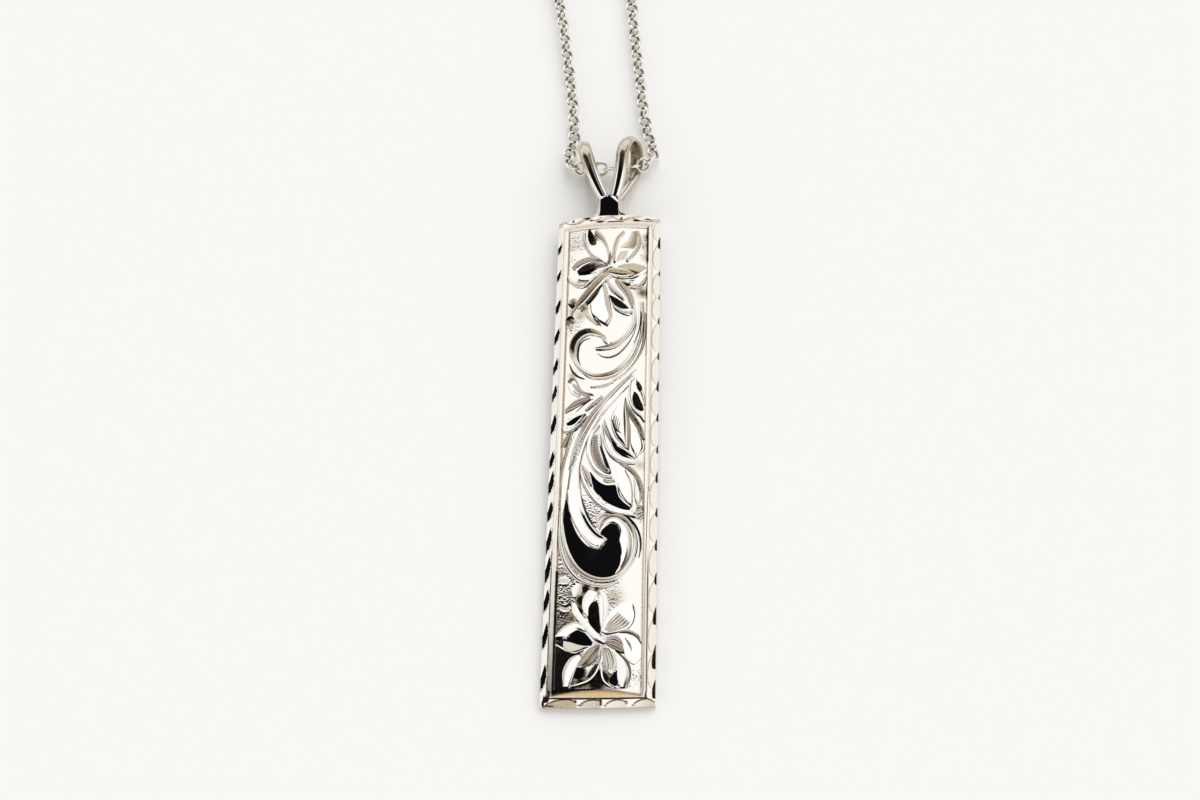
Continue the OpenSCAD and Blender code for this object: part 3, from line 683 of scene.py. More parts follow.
topFlower = [
    # up left petal: hollow, painted dark tip, rims
    form([(-.5, 43.1), (-1.2, 43.6), (-1.8, 44.4), (-1.9, 45.2), (-1.8, 45.9)],
         [(.05, 42.7), (.1, 43.6), (-.1, 44.5), (-.5, 45.2), (-1.2, 45.9)], slope=upward),
    form([(-1.45, 44.75), (-1.78, 45.2), (-1.95, 45.8), (-1.9, 46.55)],
         [(-1.4, 44.78), (-1.1, 45.1), (-1.2, 45.6), (-1.75, 46.6)], section="plane", lift=.2,
         slope=(0, .14), tone=[(0, 2), (.4, 1.9), (1, 1.3)], fade=(.5, 1, 1)),
    slab([(-1.2, 44.95), (-1.15, 45.4), (-1.35, 46.1)], [(-.8, 45.1), (-.78, 45.5), (-1.2, 46.1)],
         tone=[(0, 1.4), (1, .8)], fade=(.1, .9, 1)),
    ribbon([(-.7, 43.3), (-1.5, 43.85), (-2.1, 44.8), (-2.35, 45.6), (-2.35, 46.3)], (.2, .3, .4, .45, .4),
           lift=.05, fade=(.7, .8, .8, .6)),
    ribbon([(.1, 43), (.08, 44), (-.15, 44.9), (-.55, 45.7), (-1.15, 46.4)], (.1, .25, .4, .5, .5), lift=.08,
           fade=(.4, .7, .8, .7)),
    # up right petal
    slab([(1.2, 44.65), (1.5, 45), (1.9, 45.4), (2.25, 46.3)],
         [(2.5, 44.5), (2.75, 44.9), (2.8, 45.5), (2.75, 46.4)], tone=[(0, .3), (.5, .9), (1, 1.3)],
         fade=(.9, 1, 1, .9)),
    ribbon([(.7, 43), (.62, 43.8), (.75, 44.8), (1.05, 45.6), (1.6, 46.2)], (.25, .35, .4, .4, .35),
           lift=.08, fade=(.9, .9, .9, .8)),
    ribbon([(1.9, 43.1), (2.5, 43.8), (2.95, 44.7), (3.05, 45.5), (2.9, 46.3)], (.3, .4, .4, .4, .3),
           lift=.05, fade=(.8, .8, .8, .7)),
    form([(.85, 43.1), (1, 43.6), (1.3, 44.2)], [(1.7, 43.3), (1.95, 43.9), (2.1, 44.4)],
         section=[(0, .05), (1, .05)], tone=flat(.1), hatch=hatching("along", 5, .03, 1, (0, 1), (0, .9))),
    ribbon([(.2, 42.8), (.32, 43.5), (.28, 44.2)], (.15, .25, .05), lift=.02, fade=1.3),
    # right petal: satin upper lobe, painted dark fold, white crescent, lower rim
    form([(1, 42.45), (1.9, 42.85), (2.8, 42.95), (3.4, 42.7), (3.8, 42.3)],
         [(1.1, 42.1), (1.8, 41.95), (2.5, 41.75), (3.1, 41.6), (3.8, 42.1)], lift=.1,
         tone=[(0, .1), (.12, 0), (.2, .85), (.9, .9), (1, .2)]),
    form([(2.3, 41.3), (2.9, 41.6), (3.4, 41.95), (3.8, 42.2)],
         [(2.1, 40.7), (2.9, 40.9), (3.4, 41.5), (3.8, 41.9)], lift=.1, slope=footward),
    darkRibbon([(.9, 40.85), (1.5, 40.65), (2.3, 40.5)], (.15, .25, .1), lift=.04),
    form([(2.6, 40.9), (3.1, 41.5), (3.75, 41.85)], [(2.5, 40.3), (3.3, 40.5), (3.8, 41.4)], lift=.08),
    ribbon([(2.2, 40.25), (3, 40.35), (3.55, 40.8), (3.78, 41.4)], (.1, .25, .25, .1), lift=.12, fade=.7),
    # left petal: top rim, painted dark hollow, white hollow, lower rim
    form([(-.05, 42.65), (-.8, 42.5), (-1.4, 42.15), (-2.1, 41.85), (-2.85, 42)],
         [(-.35, 43), (-1, 43.15), (-2, 42.95), (-2.6, 42.6), (-2.95, 42.2)], lift=.08, slope=(0, -.06),
         tone=[(0, 1.8), (.5, 2), (1, 1.3)], fade=(.3, .6, 1, 1.2, 1.3)),
    form([(-.6, 41.7), (-1.3, 41.1), (-2, 40.95), (-2.8, 41.2)],
         [(-.5, 42.2), (-1.5, 41.9), (-2.2, 41.85), (-2.85, 41.9)], slope=upward),
    ribbon([(-.8, 43.35), (-1.6, 43.5), (-2.4, 43.35), (-3.1, 42.95), (-3.45, 42.6)], (.2, .35, .4, .4, .2),
           lift=.08, fade=(.6, .8, .9, .9)),
    ribbon([(-1.7, 40.85), (-2.3, 40.6), (-3, 40.8), (-3.55, 41.25), (-3.8, 41.8)], (.1, .35, .4, .35, .2),
           lift=.08, fade=(.6, .5, .4, .4)),
    # lower right petal: rims, painted dark hollow, white floor
    form([(.32, 39.35), (.95, 39), (1.65, 38.5), (2.2, 37.98)],
         [(.3, 39.2), (.6, 38.65), (1.2, 38.15), (2.1, 37.92)], section="plane", lift=.16, slope=(0, .1),
         tone=flat(1.95)),
    form([(.6, 38.6), (1.1, 38.1), (1.8, 37.9), (2.4, 38)],
         [(.7, 38.2), (1.1, 37.8), (1.8, 37.45), (2.5, 37.6)]),
    ribbon([(.5, 38.7), (.8, 38.05), (1.5, 37.55), (2.2, 37.35), (2.6, 37.6)], (.1, .15, .2, .2, .1),
           lift=.08, fade=.7),
    ribbon([(.9, 40.95), (1.5, 40.35), (2.05, 39.6), (2.4, 38.8), (2.55, 38.1)], (.3, .6, .7, .6, .3),
           lift=.12),
    ribbon([(.05, 41), (.45, 40.2), (1.1, 39.5), (1.7, 38.9)], (.2, .45, .4, .2), lift=.1, fade=.6),
    # bottom petal, with a painted dark left edge
    form([(-.2, 40.7), (.1, 39.6), (.3, 38.4), (.4, 37.2), (.1, 36.2)],
         [(-.4, 40.7), (-1.1, 39.5), (-1.55, 38.6), (-1.4, 37.6), (-.6, 36.7)], slope=upward),
    ribbon([(-.25, 40.6), (0, 39.4), (.2, 38.2), (.38, 37), (.15, 36.2)], (.25, .45, .55, .5, .15), lift=.08,
           fade=(.6, .8, .8, .6)),
    ribbon([(-.45, 40.6), (-1, 39.85), (-1.5, 39.1), (-1.9, 38.6)], (.1, .3, .4, .25), lift=.02,
           tone=[(0, 1.9), (1, 1.2)]),
    darkRibbon([(-1.5, 38.4), (-1.35, 37.6), (-1.1, 37), (-.5, 36.2)], (.1, .12, .15, .1)),
    # stem that crosses the flower, with its white lips
    ribbon([(.5, 41.75), (-.2, 41.35), (-.9, 40.7), (-1.6, 39.9), (-2.3, 39.05), (-2.9, 38.35)],
           (.5, .85, .9, .9, .9, .6), lift=(.15, .22, .2, .15, .1),
           tone=[(0, .1), (.14, 0), (.24, 1.1), (.76, 1.1), (.86, 0), (1, .1)], fade=(.8, 1, 1.1, 1.2, 1.1)),
    ribbon([(-.1, 41.65), (.5, 41.85), (1.3, 41.75), (2, 41.65), (2.65, 41.5)], (.2, .85, 1, .85, .05),
           lift=.24, tone=[(0, .1), (.16, 0), (.26, .9), (.5, 1.2), (.74, .9), (.84, 0), (1, .1)]),
    brightRibbon([(.6, 42.45), (-.3, 42.2), (-1.1, 41.5), (-2, 40.5)], (.1, .35, .35, .1), lift=.15),
    bud(-3.25, 39, .42, .12, 1.5),
    bud(-2.15, 38.15, .45, .1, 1.6),
    bud(-3.45, 36.95, .5, .1, 1.6),
    darkRibbon([(-3.7, 38.8), (-3.4, 38.45), (-3, 38.5)], (.1, .15, .05), lift=.06),
    darkRibbon([(-3.8, 37.1), (-3.5, 37.35), (-3.1, 37.2)], (.1, .15, .05), lift=.12),
    ribbon([(-2, 37.9), (-1.75, 37.3), (-1.3, 36.75), (-.7, 36.3)], (.6, .45, .35, .1), fade=(.9, .5, .4)),
    ribbon([(-2.8, 38.5), (-3.3, 38), (-3.45, 37.4)], (.15, .15, .1), fade=.7),
    ribbon([(-3.4, 36.6), (-3.45, 36.2), (-3.4, 35.9)], (.5, .3, .1), fade=.9),
]

upperScroll = [
    # outer sweep round to its curled end, in satin that darkens to painted shade at the top arc
    ribbon([(3.1, 34.6), (2.6, 33.1), (1.8, 31.9), (.9, 31.15), (-.1, 30.85), (-1.2, 30.95), (-2.1, 31.6),
            (-2.8, 32.6), (-3.1, 33.7), (-2.95, 34.7), (-2.35, 35.4), (-1.6, 35.6), (-.8, 35.35), (0, 34.9)],
           (.35, .6, .65, .65, .62, .55, .5, .45, .5, .7, .9, .85, .6, .2), lift=.1, alongCount=110,
           fade=(.35, .35, .4, .6, 1.05, 1.3, .8, .4, .35, .8, 2.2, 2.7, 1.9, 1.1, .6)),
    slabRibbon([(-2.2, 31.9), (-2.52, 32.7), (-2.6, 33.6), (-2.4, 34.4), (-1.95, 34.8), (-1.4, 34.9)],
               (.06, .14, .2, .2, .12, .05), tone=[(0, 1.2), (.5, 1.85), (1, 1.85)]),
    ribbon([(-.3, 34.95), (0, 34.5), (.25, 34.2)], (.2, .3, .1), lift=.1, fade=.5),
    # the hook: painted dark line, pale strip and satin strip
    slabRibbon([(2.9, 37), (2.85, 36), (2.5, 34.9), (1.85, 33.8), (1.1, 33.05), (.3, 32.8), (-.3, 32.95),
                (-.7, 33.25)], (.04, .08, .1, .12, .16, .18, .14, .05), tone=[(0, .9), (.5, 1.5), (1, 1.7)]),
    ribbon([(2.65, 38.2), (2.7, 37), (2.45, 35.8), (1.9, 34.9), (1.1, 34.2), (.2, 33.85), (-.9, 33.72)],
           (.2, .4, .5, .5, .5, .42, .08), lift=.15, fade=(.3, .35, .4, .5, .8, 1.3, 1.5)),
    bud(.6, 34.2, .16, .34, 1.3),
    # reeds along the right side
    brightRibbon([(3.15, 38.6), (3.2, 36.8), (3.05, 35.4), (2.75, 34.3)], (.2, .25, .2, .05), lift=.1),
    ribbon([(3.45, 38.6), (3.5, 36.8), (3.35, 35), (2.9, 33.4), (2.2, 32.1), (1.4, 31.2)],
           (.25, .25, .25, .25, .2, .05), lift=.08, fade=(.8, .6, .5)),
    darkRibbon([(3.32, 37.6), (3.36, 36), (3.2, 34.6), (2.75, 33.2), (2.1, 32.1)], (.04, .1, .1, .1, .04),
               lift=.1),
    darkRibbon([(3.62, 36.6), (3.6, 35), (3.3, 33.4), (2.7, 32.1), (2, 31.2)], (.04, .1, .12, .1, .04),
               lift=.08),
    ribbon([(3.72, 37.5), (3.72, 36), (3.6, 34.5), (3.2, 33), (2.6, 31.9), (1.8, 31), (.8, 30.4)],
           (.15, .22, .25, .25, .2, .15, .05), lift=.06, fade=(1, 1, .8, .6)),
    darkRibbon([(-3.4, 32.4), (-3.05, 31.6), (-2.5, 31), (-1.9, 30.7)], (.08, .2, .2, .08), lift=-.05),
    ribbon([(-1.3, 29.8), (-.2, 29.85), (.9, 30.25)], (.05, .2, .05), fade=.8),
]

mainStem = [
    # three strands: left lip, satin band, white belly
    ribbon([(-2.9, 25.4), (-3.25, 24), (-3.6, 22.5), (-3.8, 21), (-3.88, 19.5), (-3.85, 18)],
           (.1, .2, .3, .35, .3, .1), lift=.03, fade=(1.2, 1.2, 1, .9)),
    form([(-2.6, 25.4), (-3.2, 23.5), (-3.6, 21.5), (-3.7, 19.5), (-3.58, 18.3), (-3.5, 17.3)],
         [(-1.9, 25.2), (-2.7, 23.2), (-2.9, 21.5), (-3.1, 19.5), (-3.28, 18.3), (-3.42, 17.3)], lift=.08,
         slope=(-.03, -.05)),
    ribbon([(3, 31.5), (1.9, 30.3), (.8, 29.1), (-.2, 27.95), (-1, 26.9), (-1.7, 25.7), (-2.3, 24.4),
            (-2.75, 23), (-3.05, 21.6)], (.1, .25, .35, .5, .6, .6, .5, .35, .1), lift=.16,
           fade=(.6, .8, .8, .7, 1, 1, .6, .6, .5)),
    form([(2.7, 30.9), (1.2, 29.2), (0, 27.8), (-1, 26.2), (-1.8, 24.6), (-2.35, 23), (-2.8, 21.5),
          (-3.1, 19.4)],
         [(2.9, 30.7), (1.9, 29.3), (.7, 27.9), (-.2, 26.7), (-1.2, 24.8), (-1.8, 23), (-2, 21.5),
          (-1.85, 19.4)], section=[(0, 0), (.05, .1), (.3, .17), (.7, .2), (.95, .12), (1, 0)],
         lift=(.02, .1, .1, .1), alongCount=50),
    ribbon([(.4, 27.9), (-.4, 26.9), (-1.1, 25.8), (-1.75, 24.4), (-2.2, 22.9)], (.05, .1, .12, .12, .05),
           lift=.12, tone=flat(.9)),
    form([(-2.3, 22.8), (-2.7, 22.2), (-2.85, 21.4)], [(-2.2, 22.5), (-2.25, 22), (-2.4, 21.4)], lift=.12,
         tone=flat(.8), fade=(1, .8, .3)),
]

lowerScroll = [
    # black bowl, its white crescent and rims
    form([(-3.2, 18.6), (-3.38, 17), (-3.25, 15.3), (-2.85, 13.8), (-2.1, 12.5), (-1, 11.6), (.4, 11.15),
          (1.4, 11.5), (1.95, 12.6)],
         [(-3.1, 18.6), (-2.6, 16.6), (-1.9, 15.1), (-1.1, 14.2), (-.3, 13.8), (.5, 13.9), (1, 13.9),
          (1.5, 13.9), (1.92, 13.6)], section="plane", slope=(.02, .062), lift=.2, tone=flat(0),
         alongCount=60),
    form([(.05, 15.35), (.5, 15.85), (1.1, 16.2), (1.6, 15.95), (1.85, 15.2), (1.9, 14.2), (1.95, 12.3)],
         [(.2, 15.3), (.55, 14.8), (.62, 14.45), (.3, 14.05), (.1, 13.6), (0, 13), (0, 12.3)],
         section="plane", slope=(.02, .075), lift=.3, tone=flat(0), alongCount=40),
    form([(1.5, 11.45), (2.1, 12.1), (2.7, 13.2), (2.85, 14.5), (2.65, 15.6), (2.1, 16.4), (1.4, 16.8),
          (.7, 16.6), (.1, 15.7)],
         [(1.5, 11.6), (1.85, 12.3), (1.95, 13.3), (1.8, 14.5), (1.82, 15.4), (1.5, 16), (1.1, 16.2),
          (.6, 15.95), (.05, 15.35)], section=[(0, .17), (.25, .19), (.9, .2), (1, .17)],
         lift=(.15, .2, .24), slope=(-.03, -.02), tone=[(0, .8), (.2, .5), (.4, 0), (1, 0)], alongCount=44),
    ribbon([(-3.55, 19), (-3.55, 17.2), (-3.4, 15.4), (-3, 13.8), (-2.2, 12.35), (-1.1, 11.4), (.2, 10.98),
            (1.3, 11.15), (2.2, 11.8), (2.85, 12.8), (3.15, 14), (3.1, 15.2), (2.7, 16.2), (2, 16.85),
            (1.2, 17), (.4, 16.95)], (.3, .3, .3, .32, .4, .45, .45, .45, .4, .4, .4, .4, .35, .3, .3, .1),
           lift=.18, alongCount=120, fade=(.1, .1, .1, .2, .5, .95, 1, .9, .7, .4, .3, .35, .5, .6, .7, .7)),
    ribbon([(-3.75, 17.5), (-3.72, 15.5), (-3.5, 13.9), (-2.9, 12.4), (-1.9, 11.2), (-.8, 10.65),
            (.5, 10.45), (1.8, 10.9)], (.1, .25, .4, .5, .5, .35, .3, .1), lift=.06, fade=.3),
    darkRibbon([(3.5, 13.2), (3.62, 14.4), (3.45, 15.5), (2.95, 16.4), (2.2, 17), (1.3, 17.15), (.4, 17.3)],
               (.05, .14, .16, .18, .22, .22, .08), lift=.04),
    form([(-.4, 16.2), (-.35, 16.9), (.2, 17.3), (1, 17.15)],
         [(.02, 15.55), (.15, 16), (.5, 16.5), (1.1, 16.8)], lift=.1, tone=[(0, .7), (1, .6)],
         fade=(.8, .8, 1, 1)),
    # end of the stem that lies in the bowl
    form([(-3.2, 19.6), (-2.85, 17.4), (-2.2, 15.95), (-1.4, 14.75), (-.8, 14.1), (-.25, 13.88), (.15, 14.1),
          (.65, 14.65)],
         [(-1.85, 19.6), (-1.6, 18.3), (-1.25, 17.2), (-.8, 16.3), (-.4, 15.75), (-.1, 15.4), (.2, 15.1),
          (.66, 14.72)], section=[(0, 0), (.05, .14), (.3, .17), (.7, .17), (.95, .14), (1, 0)],
         lift=(.2, .24, .26, .26, .26), slope=(0, -.02), alongCount=44,
         tone=[(0, .3), (.06, 0), (.5, 0), (.62, .5), (.75, .1), (1, 0)], fade=(0, .2, .6, 1, .8)),
    darkRibbon([(-1.8, 19), (-1.5, 17.9), (-1, 16.8), (-.45, 16)], (.06, .15, .16, .06), lift=.1),
]

leaves = [
    # right of the stem, from the top, the first painted black
    slab([(2.8, 29.15), (2.68, 28.7), (2.78, 28.05), (3.05, 27.6), (3.45, 27.4)],
         [(2.9, 29.2), (3.15, 28.95), (3.4, 28.4), (3.62, 27.9), (3.7, 27.45)], lift=.16, slope=(0, .1),
         tone=flat(1.95)),
    brightRibbon([(2.55, 30.6), (2.38, 29.6), (2.42, 28.5), (2.8, 27.5), (3.5, 26.8), (3.8, 26.3)],
                 (.1, .2, .25, .25, .25, .1), lift=.1),
    brightRibbon([(3, 30.6), (3.3, 29.8), (3.65, 28.9), (3.8, 28)], (.1, .2, .2, .1), lift=.08),
    darkRibbon([(3.1, 30.2), (3.3, 29.8), (3.5, 29.3)], (.3, .4, .1), lift=.12),
    ribbon([(2.15, 28), (2.45, 27.2), (2.95, 26.4), (3.4, 25.6), (3.8, 24.5)], (.25, .45, .5, .4, .1),
           lift=.1, fade=(.9, 1.3, 1.6, 1.4, .9)),
    form([(1.9, 28.6), (1.3, 27.8), (.75, 26.8), (.8, 25.6), (1.2, 24.6), (2.1, 23.6)],
         [(2.1, 28.6), (2.25, 27.6), (2.35, 26.6), (2.4, 25.5), (2.4, 24.5), (2.4, 23.5)], section="pillow",
         lift=.04),
    darkRibbon([(.85, 26.35), (1, 25.7), (1.3, 25.25), (1.7, 25)], (.06, .12, .2, .05), lift=.2),
    ribbon([(1, 25.9), (1, 26.4), (1.1, 26.8)], (.12, .08, .03), lift=.22, tone=flat(1.3)),
    ribbon([(1.15, 25.5), (1.17, 26.1), (1.27, 26.6)], (.14, .08, .03), lift=.22, tone=flat(1.4)),
    ribbon([(1.32, 25.3), (1.34, 25.9), (1.45, 26.4)], (.14, .08, .03), lift=.22, tone=flat(1.4)),
    ribbon([(1.5, 25.1), (1.52, 25.7), (1.62, 26.1)], (.14, .08, .03), lift=.22, tone=flat(1.3)),
    ribbon([(2.05, 28.5), (2.3, 27), (2.42, 25.5), (2.45, 24.3), (2.42, 23.4)], (.05, .1, .12, .12, .05),
           lift=.12, tone=flat(.9)),
    form([(2.5, 26), (2.5, 24.8), (2.6, 23.7), (3.1, 22.75)],
         [(3.2, 25.3), (3.7, 24.4), (3.82, 23.6), (3.2, 22.75)], lift=.02),
    form([(.35, 25.4), (.7, 24.2), (1.2, 23.2), (1.9, 22.65), (3.05, 22.42)],
         [(.35, 25.8), (.9, 24.7), (1.6, 23.85), (2.4, 23.35), (3.05, 22.6)], lift=.12, slope=footward),
    ribbon([(.15, 26.3), (.35, 25.3), (.7, 24.4)], (.2, .4, .2), lift=.12, fade=.8),
    brightRibbon([(1.4, 23.75), (1.85, 23.55), (2.2, 23.3)], (.1, .2, .1), lift=.22),
    ribbon([(-.05, 26), (0, 25), (.3, 23.8), (.9, 22.8), (1.8, 22.25), (3, 22.1)], (.1, .3, .3, .35, .3, .1),
           lift=.1, tone=[(0, .6), (.2, 0), (.45, 0), (.5, .7), (.55, 0), (1, 0)]),
    # hatched lens leaf in its white lip
    brightRibbon([(-.3, 25.9), (-.95, 25.1), (-1.25, 23.9), (-1.1, 22.6), (-.5, 21.5), (.3, 20.9),
                  (1, 20.75)], (.15, .4, .45, .5, .5, .5, .2), lift=.06),
    form([(-.4, 25.4), (-.9, 24.8), (-1, 23.8), (-.85, 22.7), (-.4, 21.8), (.1, 21.3), (.6, 21.1)],
         [(-.3, 25.4), (-.1, 24.5), (.05, 23.6), (.3, 22.8), (.5, 22), (.7, 21.5), (.8, 21.2)],
         section=[(0, 0), (.06, .08), (.3, .16), (.8, .22), (.95, .2), (1, 0)], lift=.12,
         tone=[(0, .5), (.3, .3), (1, .1)], hatch=hatching("across", 30, .025, 1.1, (.02, .65), (.12, .97))),
    darkRibbon([(-.02, 23.6), (.25, 22.7), (.55, 21.9), (.85, 21.2)], (.08, .2, .22, .08), lift=.1),
    ribbon([(.2, 20.5), (.7, 20.35), (1.2, 20.4)], (.15, .4, .1), lift=.1, fade=.5),
    # big black leaf
    form([(-1.1, 21.1), (-.7, 19.5), (-.1, 18.75), (.8, 17.95), (1.7, 17.5), (2.6, 17.5)],
         [(-.9, 21.1), (-.1, 20.35), (.6, 20.05), (1.4, 20.1), (1.75, 19), (2.7, 17.95)], lift=.08,
         slope=(.06, .2)),
    ribbon([(-1.75, 21.9), (-1.35, 21), (-.9, 20)], (.2, .6, .3), lift=.14, fade=(.6, .9, .7)),
    ribbon([(-1.95, 21.5), (-1.5, 20.1), (-.8, 18.9), (.1, 17.95), (1.2, 17.35), (2.6, 17.1), (3.4, 16.9)],
           (.2, .45, .45, .4, .35, .3, .1), lift=.08,
           tone=[(0, .3), (.2, 0), (.6, 0), (.68, .8), (.76, 0), (1, .2)]),
    ribbon([(-2.1, 22.3), (-2, 21.3), (-2, 20.3)], (.05, .1, .05), lift=.12, tone=flat(.9)),
    # white leaf and the satin rim right of it
    slab([(1.3, 22), (1.45, 20.8), (1.6, 19.8), (2.2, 18.6), (2.8, 17.9)],
         [(1.6, 22), (2.3, 21.2), (2.7, 20.2), (2.85, 19), (2.85, 18)], lift=.18, slope=(-.03, -.03)),
    ribbon([(2.15, 21.4), (2.6, 20.4), (2.78, 19.3), (2.78, 18.1)], (.05, .12, .14, .08), lift=.14,
           tone=flat(.7)),
    ribbon([(1.6, 22.1), (2.5, 21.65), (3.2, 20.85), (3.62, 19.8), (3.8, 18.5), (3.82, 17.6)],
           (.15, .4, .4, .3, .2, .1), lift=.1, fade=(.9, 1, 1, 1, 1.2)),
    form([(2.9, 20.9), (2.92, 19.5), (3, 18.6), (3.25, 18.05)],
         [(3.1, 20.7), (3.5, 19.5), (3.62, 18.7), (3.35, 18.05)], lift=.02),
    bud(3.45, 17.85, .3, .2, 1.2),
    # left of the stem
    ribbon([(-3.45, 30.5), (-3.1, 30.9), (-2.7, 30.6), (-2.4, 29.9), (-1.9, 29.3), (-1, 29)],
           (.1, .15, .15, .15, .15, .05), lift=.1, tone=flat(.9)),
    ribbon([(-2.9, 30.2), (-2.5, 29.7), (-2.1, 29.3), (-1.4, 28.95)], (.2, .45, .4, .1), lift=.06,
           fade=(.8, .8, .9)),
    form([(-3.5, 30.1), (-3, 29.2), (-2.4, 28.8)], [(-3.1, 30.4), (-2.7, 29.6), (-2.2, 29.1)], lift=0),
    form([(-1.2, 28.6), (-2, 28.15), (-2.9, 27.75), (-3.65, 27.4)],
         [(-1.3, 28.8), (-2.1, 28.75), (-2.9, 28.4), (-3.6, 27.7)], lift=.08,
         tone=[(0, .6), (.2, 1), (.8, .9), (1, .2)]),
    slabRibbon([(-1, 28.62), (-1.8, 28.1), (-2.6, 27.4)], (.04, .08, .04), tone=darkLine),
    ribbon([(-.1, 28.8), (-.9, 28.1), (-1.7, 27.4)], (.1, .25, .08), lift=.1, fade=.9),
    form([(-1.7, 26.95), (-2.2, 26.4), (-2.9, 25.95), (-3.3, 26)],
         [(-1.6, 27), (-2.2, 26.95), (-2.9, 26.8), (-3.55, 26.4)], lift=.1, slope=(.1, .28)),
    ribbon([(-1.6, 26.6), (-2.3, 25.95), (-3, 25.5), (-3.6, 25.45), (-3.8, 26)], (.08, .15, .2, .25, .1),
           lift=.08, fade=(.8, .6, .5)),
    form([(-3, 25.3), (-3.2, 24.6), (-3.55, 23.9)], [(-3.15, 25.35), (-3.6, 24.8), (-3.82, 24.1)], lift=.05,
         tone=flat(1)),
]

